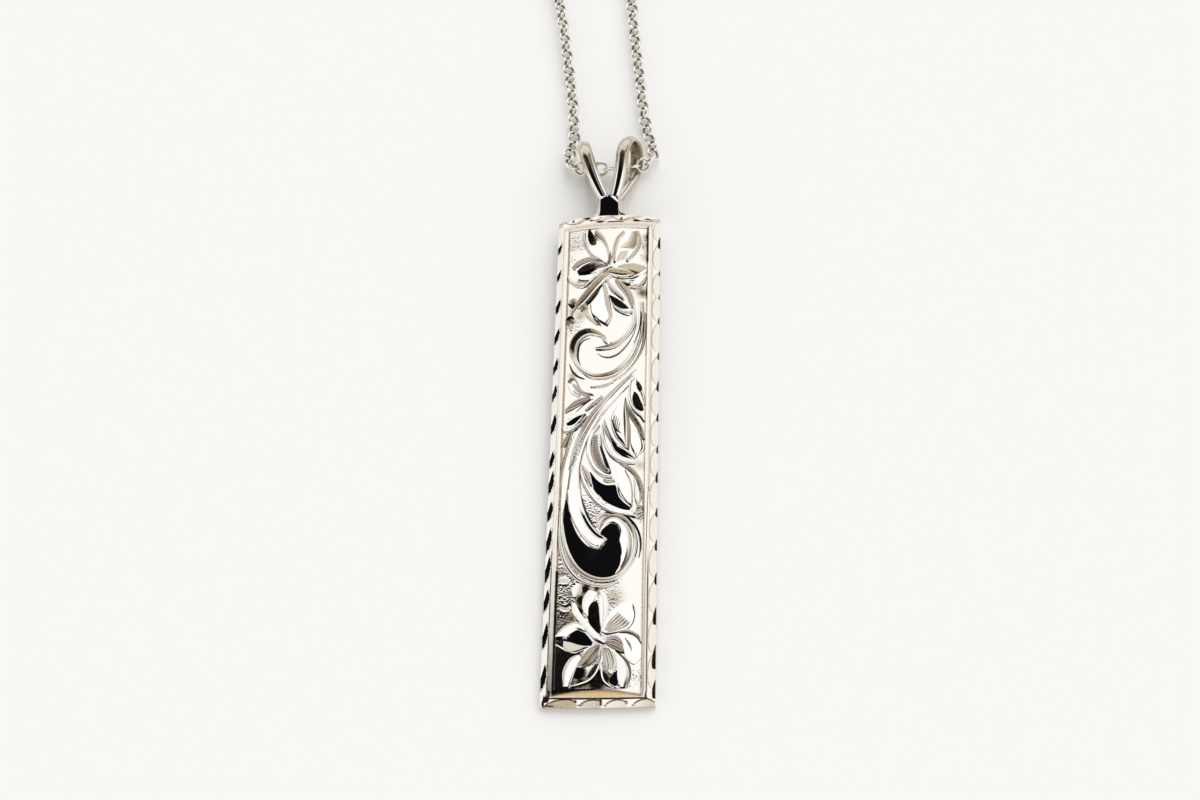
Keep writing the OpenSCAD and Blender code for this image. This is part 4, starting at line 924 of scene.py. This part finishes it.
footFlower = [
    # top petal: white flank, painted dark hollow, white strip
    slab([(-.95, 7.6), (-1.35, 8.4), (-1.35, 9.4), (-.9, 10.15)],
         [(-.85, 7.7), (-.8, 8.6), (-.4, 9.2), (-.1, 9.95)], lift=.1, slope=(-.05, -.1),
         tone=[(0, .3), (.3, .2), (1, 0)]),
    slab([(-.1, 6.3), (-.7, 7), (-.9, 7.8), (-.75, 8.6), (-.35, 9.05)],
         [(.25, 6.1), (.2, 7), (.12, 8), (.05, 8.6), (-.1, 9.05)], lift=.1, slope=(0, .05), tone=flat(1.95)),
    slabRibbon([(.3, 6.1), (.45, 7.2), (.5, 8.4), (.4, 9.4), (.15, 9.95)], (.1, .45, .75, .8, .5), lift=.14,
               tone=[(0, .3), (.2, 0), (.45, 0), (.5, .4), (.55, 0), (1, .3)]),
    # upper right petal
    slab([(.45, 6.3), (.8, 7.6), (1.5, 8.5), (2.2, 9), (2.85, 9.15)],
         [(.8, 6.1), (1.9, 6.35), (2.7, 6.7), (3.15, 7.5), (3.15, 8.6)], lift=.12, slope=(-.04, -.06),
         hatch=hatching("along", 8, .05, 1.6, (.2, .95), (.04, .62))),
    slabRibbon([(2.65, 6.6), (3.05, 7.2), (3.2, 8), (3, 8.9)], (.03, .06, .06, .03), lift=.1, tone=darkLine),
    # right petal
    slab([(.75, 5.7), (1.4, 5.95), (2, 5.7), (2.3, 5.2)], [(.8, 5.2), (1.3, 4.9), (1.9, 4.6), (2.3, 4.5)],
         lift=.16, tone=[(0, .6), (1, .7)], hatch=hatching("along", 6, .05, .5, (0, 1), (.05, .95))),
    slab([(1.8, 6.2), (2.5, 6.2), (3.3, 5.9), (3.8, 5.2)], [(2.3, 4.6), (2.6, 3.9), (3.2, 3.5), (3.78, 4)],
         lift=.08, slope=(0, -.03)),
    slabRibbon([(1.9, 6.3), (2.7, 6.4), (3.4, 6.05), (3.8, 5.4)], (.15, .4, .3, .1), lift=.1,
               fade=(.8, .9, .6)),
    slabRibbon([(2.4, 5.8), (2.75, 5.3), (3, 4.6), (3.1, 4.2)], (.08, .2, .2, .08), lift=.09, tone=flat(.7)),
    slabRibbon([(1.6, 4.65), (2, 4.5), (2.35, 4.5)], (.06, .16, .1), lift=.12, tone=darkLine),
    # lower right petal
    slab([(.95, 5), (1.5, 4.2), (1.7, 3.3), (1.3, 2.6)], [(.5, 5), (.6, 4), (.75, 3.3), (1.1, 2.6)],
         lift=.14, slope=(0, -.05), tone=[(0, .2), (1, .4)],
         hatch=hatching("along", 4, .05, .6, (0, 1), (.05, .9))),
    slab([(1.9, 2.9), (1.85, 2), (1.9, 1.45)], [(1.5, 2.7), (1.1, 2), (1.5, 1.45)], lift=.04,
         slope=(0, .16)),
    slab([(1.8, 4.4), (2.5, 3.6), (2.75, 2.6), (2.5, 1.42)],
         [(1.7, 4.2), (1.8, 3.2), (1.85, 2.2), (2.1, 1.42)], lift=.18, slope=(-.08, -.1),
         tone=[(0, .3), (.3, .1), (1, .2)]),
    slabRibbon([(1.7, 4.6), (2.4, 4), (2.85, 3.1), (2.8, 2.1), (2.62, 1.42)], (.1, .2, .2, .2, .1), lift=.08,
               fade=(.8, 1, 1.2, 1.2)),
    slabRibbon([(.5, 3.4), (.4, 2.7), (.6, 2), (1, 1.6), (1.3, 1.42)], (.1, .25, .25, .2, .1), lift=.12,
               tone=polished),
    # lower left petal
    slab([(.3, 5.1), (.1, 4.2), (-.5, 3.5), (-1.2, 3.2)], [(.2, 5.2), (-.6, 4.9), (-1.3, 4.1), (-1.75, 3.2)],
         lift=.14, tone=[(0, .3), (1, .4)], hatch=hatching("along", 6, .07, 1.3, (0, 1), (.02, .98))),
    slab([(-.9, 3), (-1.1, 2.4), (-1.5, 2.15)], [(-1.7, 3.2), (-1.95, 2.7), (-2, 2.3)], lift=.04,
         slope=(.05, .14)),
    slab([(.2, 3.5), (-.1, 2.8), (-.6, 2.3)], [(-.5, 3.3), (-1, 3), (-1.1, 2.4)], lift=.1,
         tone=[(0, .2), (1, .3)]),
    slabRibbon([(.4, 5), (.38, 3.8), (.1, 2.8), (-.5, 2.05), (-1.3, 1.7), (-2.3, 1.5)],
               (.1, .2, .25, .25, .25, .1), lift=.14, tone=polished),
    slab([(-1.1, 4.5), (-1.7, 3.5), (-2.1, 2.6), (-2.45, 1.5)],
         [(-1.4, 4.55), (-2.4, 4), (-2.95, 2.9), (-2.85, 1.5)], lift=.12, slope=(-.08, -.1),
         tone=[(0, 0), (.6, 0), (.8, .8), (1, .6)]),
    # left petal
    slab([(-.5, 5.1), (-1.2, 5.1), (-1.9, 5.25), (-2.65, 5.6)],
         [(-.4, 5.4), (-1, 6.1), (-1.8, 6.45), (-2.5, 6)], lift=.06, slope=(0, .16)),
    slab([(-1, 6.2), (-1.8, 6.5), (-2.4, 6.2), (-3, 5.75), (-3.7, 5.9)],
         [(-1.3, 7), (-2.1, 7.25), (-2.9, 7), (-3.4, 6.6), (-3.75, 6.1)], lift=.14, slope=(0, -.08),
         tone=[(0, 0), (.7, 0), (.85, .7), (1, .7)]),
    slab([(-.9, 4.95), (-1.7, 4.7), (-2.5, 4.6), (-3, 4.95)],
         [(-.8, 5.02), (-1.7, 5.2), (-2.4, 5.45), (-3, 5.6)], lift=.14, slope=(-.05, -.16), tone=flat(.6)),
    slabRibbon([(-3.7, 5.35), (-3.2, 4.95), (-2.6, 4.6), (-1.9, 4.45), (-1.2, 4.75)],
               (.1, .25, .25, .15, .05), lift=.12, tone=polished),
    # stem across the flower
    slab([(-2.35, 8.95), (-2.25, 8.1), (-1.6, 7.2), (-.9, 6.3), (-.2, 5.6), (.5, 5.25)],
         [(-2.05, 8.95), (-1.5, 7.95), (-.7, 6.95), (0, 6.15), (.4, 5.7), (.75, 5.35)],
         lift=(.26, .28, .28, .24), slope=(-.12, -.1), tone=[(0, .3), (.2, .3), (.4, .2), (.8, 0), (1, 0)]),
    slabRibbon([(-3.45, 8.75), (-3, 8.6), (-2.45, 8.35)], (.4, .8, .35), lift=.12, slope=(0, -.18),
               fade=(.9, .9, .7)),
    slabRibbon([(-2.1, 9.5), (-1.95, 10.1), (-1.75, 10.7)], (.25, .95, .5), lift=.12, slope=(0, -.18),
               tone=[(0, .1), (.5, .2), (.8, .8), (1, .6)]),
    slabRibbon([(-3.6, 11.1), (-3.1, 11.1), (-2.65, 10.85)], (.5, .8, .3), lift=.12, slope=(0, -.18),
               fade=(.7, .6, .6)),
    slabRibbon([(-2, 9.3), (-1.7, 9.6), (-1.5, 10)], (.08, .12, .08), lift=.1, tone=polished),
    slabRibbon([(-3.4, 8.9), (-2.9, 8.75), (-2.5, 9)], (.05, .12, .05), lift=.24, tone=darkLine),
]


for name, forms in (("top_flower", topFlower), ("upper_scroll", upperScroll), ("main_stem", mainStem),
                    ("lower_scroll", lowerScroll), ("leaves", leaves), ("foot_flower", footFlower)):
    platePiece(name, forms, reliefSilver, relief["sharpAngle"])
print("relief made")

# The bail

bail = {
    "crotch": (0.1, 49.75), "apart": 0.22, "spread": 14.8, "lean": 2.5, "rolls": {-1: -2, 1: 12},
    "flare": 0.5, "flarePower": 3, "reach": 5.25, "radius": 2.2, "strip": 0.7, "bulge": 0.45,
    "midHeight": 1.0, "widthLow": 1.0, "widthTop": 1.35, "sharpAngle": 50,
    # across and up of a strip's section: a narrow flat front, shoulders and a flatter back; then the
    # place across from which it counts as its edge, and the height below which it counts as its inside
    "section": [(1, 0), (.93, .4), (.66, .72), (.3, .95), (.14, 1), (0, 1.01), (-.14, 1), (-.3, .95),
                (-.66, .72), (-.93, .4), (-1, 0), (-.8, -.35), (-.3, -.5), (.3, -.5), (.8, -.35)],
    "edgeFrom": 0.9, "insideBelow": -0.1,
    # tones by the distance from the crotch: of an ear's front, satin whose colour is painted reflection, and
    # of its inside, painted shade; its back has one
    "frontTone": ((0, .1), (3, .15), (4.2, .85), (7.2, .5)), "innerTone": ((2, .45), (4, .6), (5.2, 1.3)),
    "backTone": 0.7, "edgeTone": 0.2,
    # the stem: y, half width and height, and its section
    "stem": ((47.6, 2.6, 1.05), (47.85, 2.35, 1.08), (48.1, 2.05, 1.13), (48.4, 1.75, 1.2), (48.8, 1.5, 1.32),
             (49.3, 1.32, 1.46), (49.8, 1.18, 1.6), (50.1, 1.08, 1.67), (50.3, 1, 1.71), (50.42, .92, 1.73)),
    "stemSection": [(-1, 0), (-1, .4), (-.95, .72), (-.58, .98), (-.5, 1), (0, 1.01), (.5, 1), (.58, .98),
                    (.95, .72), (1, .4), (1, 0)],
    # how much more of the width the stem's flat front takes by y, towards the ears
    "stemWidening": ((48.4, 0), (50.1, .6)), "stemRows": 30, "stemBottom": 0.05, "stemX": 0.05,
    # the share of the width beyond which the stem's flanks lie, their tone, and the painted shade that the
    # stem's foot has more left of an x and below a y
    "flankFrom": 0.5, "flankTone": 0.5, "footTone": 0.8, "footX": -0.2, "footY": 48.25,
    # an ear's rows: where they start as a share of the flank, and how many its flanks and its bend have
    "start": 0.06, "flankRows": 14, "bendRows": 40,
}


def earShape(hand):
    # a strip bent into a teardrop seen from the side: a flank, an arc and a flank, with a D section;
    # hand is -1 for the left ear and 1 for the right; both curve outwards and roll their backs outwards
    r = bail["radius"] - bail["strip"] / 2
    opening = math.asin(r / bail["reach"])
    arc = np.linspace(-math.pi / 2 - opening, math.pi / 2 + opening, bail["bendRows"])
    flank = bail["reach"] * math.cos(opening)
    out = np.linspace(bail["start"], 1, bail["flankRows"])[:-1] * flank
    front = np.stack([out * math.cos(opening), out * math.sin(opening)], -1)
    bend = np.stack([bail["reach"] + r * np.cos(arc[::-1]), r * np.sin(arc[::-1])], -1)
    line = np.concatenate([front, bend, front[::-1] * [1, -1]])
    outward = leftOf(unit(np.gradient(line, axis=0)))
    share = np.clip(line[:, 0] / bail["reach"], 0, 1)
    half = (bail["widthLow"] + (bail["widthTop"] - bail["widthLow"]) * share) / 2
    section = np.array(bail["section"])
    bulge = section[:, 1] * bail["bulge"]
    flare = hand * bail["flare"] * (1 - (1 - share) ** bail["flarePower"])
    side = section[None, :, 0] * half[:, None] + flare[:, None]
    alongEar = line[:, :1] + outward[:, :1] * bulge[None, :]
    upEar = line[:, 1:] + outward[:, 1:] * bulge[None, :]
    roll = math.radians(bail["rolls"][hand]) * hand
    rolledSide = side * math.cos(roll) - upEar * math.sin(roll)
    z = side * math.sin(roll) + upEar * math.cos(roll) + bail["midHeight"]
    angle = math.radians(bail["lean"] - hand * bail["spread"])
    x = bail["crotch"][0] + hand * bail["apart"] + rolledSide * math.cos(angle) - alongEar * math.sin(angle)
    y = bail["crotch"][1] + rolledSide * math.sin(angle) + alongEar * math.cos(angle)
    onBack = np.arange(len(line)) > len(line) // 2
    tone = np.where(onBack, bail["backTone"], byPlace(line[:, 0], bail["frontTone"]))[:, None]
    atEdge, inside = abs(section[:, 0]) > bail["edgeFrom"], section[:, 1] < bail["insideBelow"]
    tone = tone + bail["edgeTone"] * atEdge[None, :]
    # the insides of the loops are painted shade
    tone = np.where(inside[None, :], byPlace(line[:, 0], bail["innerTone"])[:, None], tone)
    # the section runs round the strip so that its faces need turning to point outwards
    return closedTube(np.stack([x, y, z], -1), tone, flip=True)


def stemShape():
    # cross sections along y: a flat front with sloping sides, flared to the foot
    at = np.linspace(0, 1, bail["stemRows"])
    y, half, top = (evenValues(values, at)[:, None] for values in zip(*bail["stem"]))
    side, up = np.array(bail["stemSection"]).T
    widening = byPlace(y, bail["stemWidening"]) * np.sign(side) * (1 - abs(side))
    x = half * (side + widening) + bail["stemX"]
    z = bail["stemBottom"] + (top - bail["stemBottom"]) * up
    points = np.stack([x, np.broadcast_to(y, x.shape), z], -1)
    # satin flanks, and painted shade on the foot's left side
    tone = np.where(abs(side) > bail["flankFrom"], bail["flankTone"], 0)
    onFoot = (y < bail["footY"]) & (x < bail["footX"])
    return closedTube(points, tone + np.where(onFoot, bail["footTone"], 0))


platePiece("bail", [earShape(-1), earShape(1), stemShape()], bailSilver, bail["sharpAngle"])
print("bail made")

# The chain

chain = {
    "wire": 0.3, "linkLong": 1.66, "linkWide": 1.58, "linkSides": 12, "wireSides": 6,
    "turn": 45, "looseness": 0.12, "seed": 4, "sharpAngle": 80,
    # painted shade on the wire, darkest on the inside of a link, at -1, to none on its outside, at 1
    "wireShadeTone": ((-1, 1.75), (-0.4, 0.75), (0.3, 0.05), (1, 0)),
    # the height at which the part's tube lies, on a side of its eight-sided section
    "lift": 0.6 * math.cos(math.radians(22.5)),
    "route": [
        (-21.8, 252, 0), (-27, 251, 0), (-34, 247, 0), (-42, 238, 0), (-48.5, 223, 0), (-51, 205, 0),
        (-50.5, 187, 0), (-46.5, 168, 0), (-38.5, 149, 0), (-28.5, 130, 0), (-18.5, 111, 0), (-10, 91, 0),
        (-6.2, 76, 0), (-5, 68, 0), (-4.2, 61, 0), (-4.1, 58.6, 0), (-4.4, 57.2, 0.1), (-4.4, 55.8, 0.45),
        (-3.7, 54.8, 0.9), (-2, 54.5, 1), (-0.1, 54.4, 1), (1.7, 54.5, 1), (3.3, 54.8, 0.9), (4, 55.9, 0.45),
        (4, 57.2, 0.1), (3.6, 58.6, 0), (3.2, 60.5, 0), (2.4, 67, 0), (1.5, 76, 0), (2, 90, 0), (6.5, 109, 0),
        (13, 128, 0), (20, 148, 0), (26, 168, 0), (28.5, 190, 0), (26, 212, 0), (18.5, 231, 0),
        (8.5, 243.5, 0), (-2.5, 250, 0), (-12.6, 252, 0.35)],
}


def chainLinks():
    # an oval ring of round wire at each even step of the route, every other one a quarter turn on
    pitch = chain["linkLong"] - 2 * chain["wire"]
    a, b = (chain["linkLong"] - chain["wire"]) / 2, (chain["linkWide"] - chain["wire"]) / 2
    route = np.array(chain["route"]) + [0, 0, chain["lift"]]
    _, length = evenLine(route, 2)
    count = int(round(length / pitch)) + 1
    places, _ = evenLine(route, count)
    way = unit(np.gradient(places, axis=0))
    side = unit(np.cross(way, [0, 0, 1.0]))
    up = np.cross(side, way)
    rng = np.random.default_rng(chain["seed"])
    handed = np.where(np.arange(count) % 2, 1, -1)
    roll = handed * math.radians(chain["turn"]) + rng.normal(0, chain["looseness"], count)
    # a link rests on the table with its lower side
    places[:, 2] = np.maximum(places[:, 2], b * abs(np.sin(roll)) + chain["wire"] / 2)
    flatWay = side * np.cos(roll)[:, None] + up * np.sin(roll)[:, None]
    offWay = np.cross(way, flatWay)
    turn = np.linspace(0, 2 * np.pi, chain["linkSides"], endpoint=False)
    wireTurn = np.linspace(0, 2 * np.pi, chain["wireSides"], endpoint=False)
    centre = np.stack([a * np.cos(turn), b * np.sin(turn)], -1)
    outward = unit(np.stack([b * np.cos(turn), a * np.sin(turn)], -1))
    wireFlat = (np.cos(wireTurn) * chain["wire"] / 2)[None, :, None]
    wireOff = (np.sin(wireTurn) * chain["wire"] / 2)[None, None, :, None]
    flatPart = centre[:, None, :] + outward[:, None, :] * wireFlat
    way, flatWay, offWay, places = (rows[:, None, None, :] for rows in (way, flatWay, offWay, places))
    points = places + flatPart[None, ..., :1] * way + flatPart[None, ..., 1:] * flatWay + wireOff * offWay
    # a link's faces, turned to point out of the wire
    oneLink = gridQuads(chain["linkSides"], chain["wireSides"], True, True)[:, ::-1]
    faces = (oneLink[None] + (np.arange(count) * flatPart[..., 0].size)[:, None, None]).reshape(-1, 4)
    # the wire is painted dark on a link's inside, where the links shade each other
    tone = np.broadcast_to(byPlace(np.cos(wireTurn), chain["wireShadeTone"]), points.shape[:3]).ravel()
    piece = buildPiece("chain_links", fromTable(points.reshape(-1, 3)), [faces], chainSilver,
                       tone, chain["sharpAngle"])
    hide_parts("chain")
    print("chain made of", count, "links,", round(length, 1), "mm")


chainLinks()

for node in ("clasp", "clasp_ring"):
    frame["nodes"][node].data.materials.clear()
    frame["nodes"][node].data.materials.append(claspSilver)

# Floor, light and camera

paper = {"size": 20.0, "colour": (0.9, 0.895, 0.88), "roughness": 0.9}
bpy.ops.mesh.primitive_plane_add(size=paper["size"], location=(0, 0, 0))
floor = bpy.context.object
floor.name = "floor"
paperMaterial = bpy.data.materials.new("paper")
paperMaterial.use_nodes = True
paperShader = paperMaterial.node_tree.nodes["Principled BSDF"].inputs
paperShader["Base Color"].default_value = (*paper["colour"], 1)
paperShader["Roughness"].default_value = paper["roughness"]
floor.data.materials.append(paperMaterial)

studio = {
    "wall": (0.9, 0.89, 0.86),
    "dome": (1.08, 1.075, 1.06),
    # soft dark and warm parts of the room: centre direction, half sizes, softness, colour
    "parts": [
        ((0, 0, 0), (1.3, 1.3, 0.25), 0.3, (0.34, 0.28, 0.2)),
        ((-0.16, -1, 0.02), (0.9, 0.4, 0.22), 0.2, (0.85, 0.6, 0.3)),
        ((0.56, 0.25, 0.78), (0.15, 0.35, 0.4), 0.2, (0.05, 0.05, 0.04)),
        ((-0.1, -0.2, 0.95), (0.5, 0.44, 0.6), 0.06, (0.004, 0.004, 0.005)),
        ((-0.5, -0.1, 0.8), (0.36, 0.42, 0.7), 0.06, (0.004, 0.004, 0.005)),
    ],
    "lampPower": 1.35, "lampWidth": 70, "lampTurn": (-24, 26, 0),
}


def studioWorld():
    # a white room by direction, in which each part is an ellipsoid of directions with a soft rim;
    # the wall that the camera itself sees is plain
    world = bpy.data.worlds.new("studio")
    world.use_nodes = True
    bpy.context.scene.world = world
    tree = world.node_tree
    direction = addNode(tree, "TexCoord").outputs["Generated"]
    colour = (*studio["dome"], 1)
    for centre, halfSizes, softness, tint in studio["parts"]:
        off = addNode(tree, "VectorMath", {0: direction, 1: centre}, operation="SUBTRACT").outputs[0]
        share = addNode(tree, "VectorMath", {0: off, 1: halfSizes}, operation="DIVIDE").outputs[0]
        size = addNode(tree, "VectorMath", {0: share}, operation="LENGTH").outputs["Value"]
        rim = addNode(tree, "MapRange", {"Value": size, "From Min": 1 + softness, "From Max": 1 - softness},
                      interpolation_type="SMOOTHSTEP")
        colour = mixColours(tree, rim.outputs["Result"], colour, (*tint, 1))
    seen = addNode(tree, "LightPath").outputs["Is Camera Ray"]
    plain = mixColours(tree, seen, colour, (*studio["wall"], 1))
    tree.links.new(plain, tree.nodes["Background"].inputs["Color"])


studioWorld()

# a soft light from above right for the paper alone, left out of the silver's reflections
lampData = bpy.data.lights.new("lamp", "SUN")
lampData.energy = studio["lampPower"]
lampData.angle = math.radians(studio["lampWidth"])
lamp = bpy.data.objects.new("lamp", lampData)
lamp.rotation_euler = [math.radians(turn) for turn in studio["lampTurn"]]
lamp.visible_glossy = False
bpy.context.scene.collection.objects.link(lamp)

camera = {
    "place": (19.44, -32.75, 134.8),  # plate millimetres
    "right": (0.9905, 0.025, -0.1355), "down": (-0.0335, -0.9102, -0.4128),
    "forward": (-0.1336, 0.4134, -0.9007),
    "lens": 48, "sensor": 36, "clipStart": 0.01,
}
axes = np.array([camera["right"], camera["down"], camera["forward"]]) @ plateAxes * [[1], [-1], [-1]]
cameraData = bpy.data.cameras.new("camera")
cameraData.lens = camera["lens"]
cameraData.sensor_width = camera["sensor"]
cameraData.clip_start = camera["clipStart"]
cameraObject = bpy.data.objects.new("camera", cameraData)
turned = Matrix([list(row) for row in axes.T]).to_quaternion().to_matrix().to_4x4()
turned.translation = fromPlate(camera["place"])
cameraObject.matrix_world = turned
bpy.context.scene.collection.objects.link(cameraObject)
bpy.context.scene.camera = cameraObject
bpy.context.scene.view_settings.view_transform = "Standard"
print("stage set")
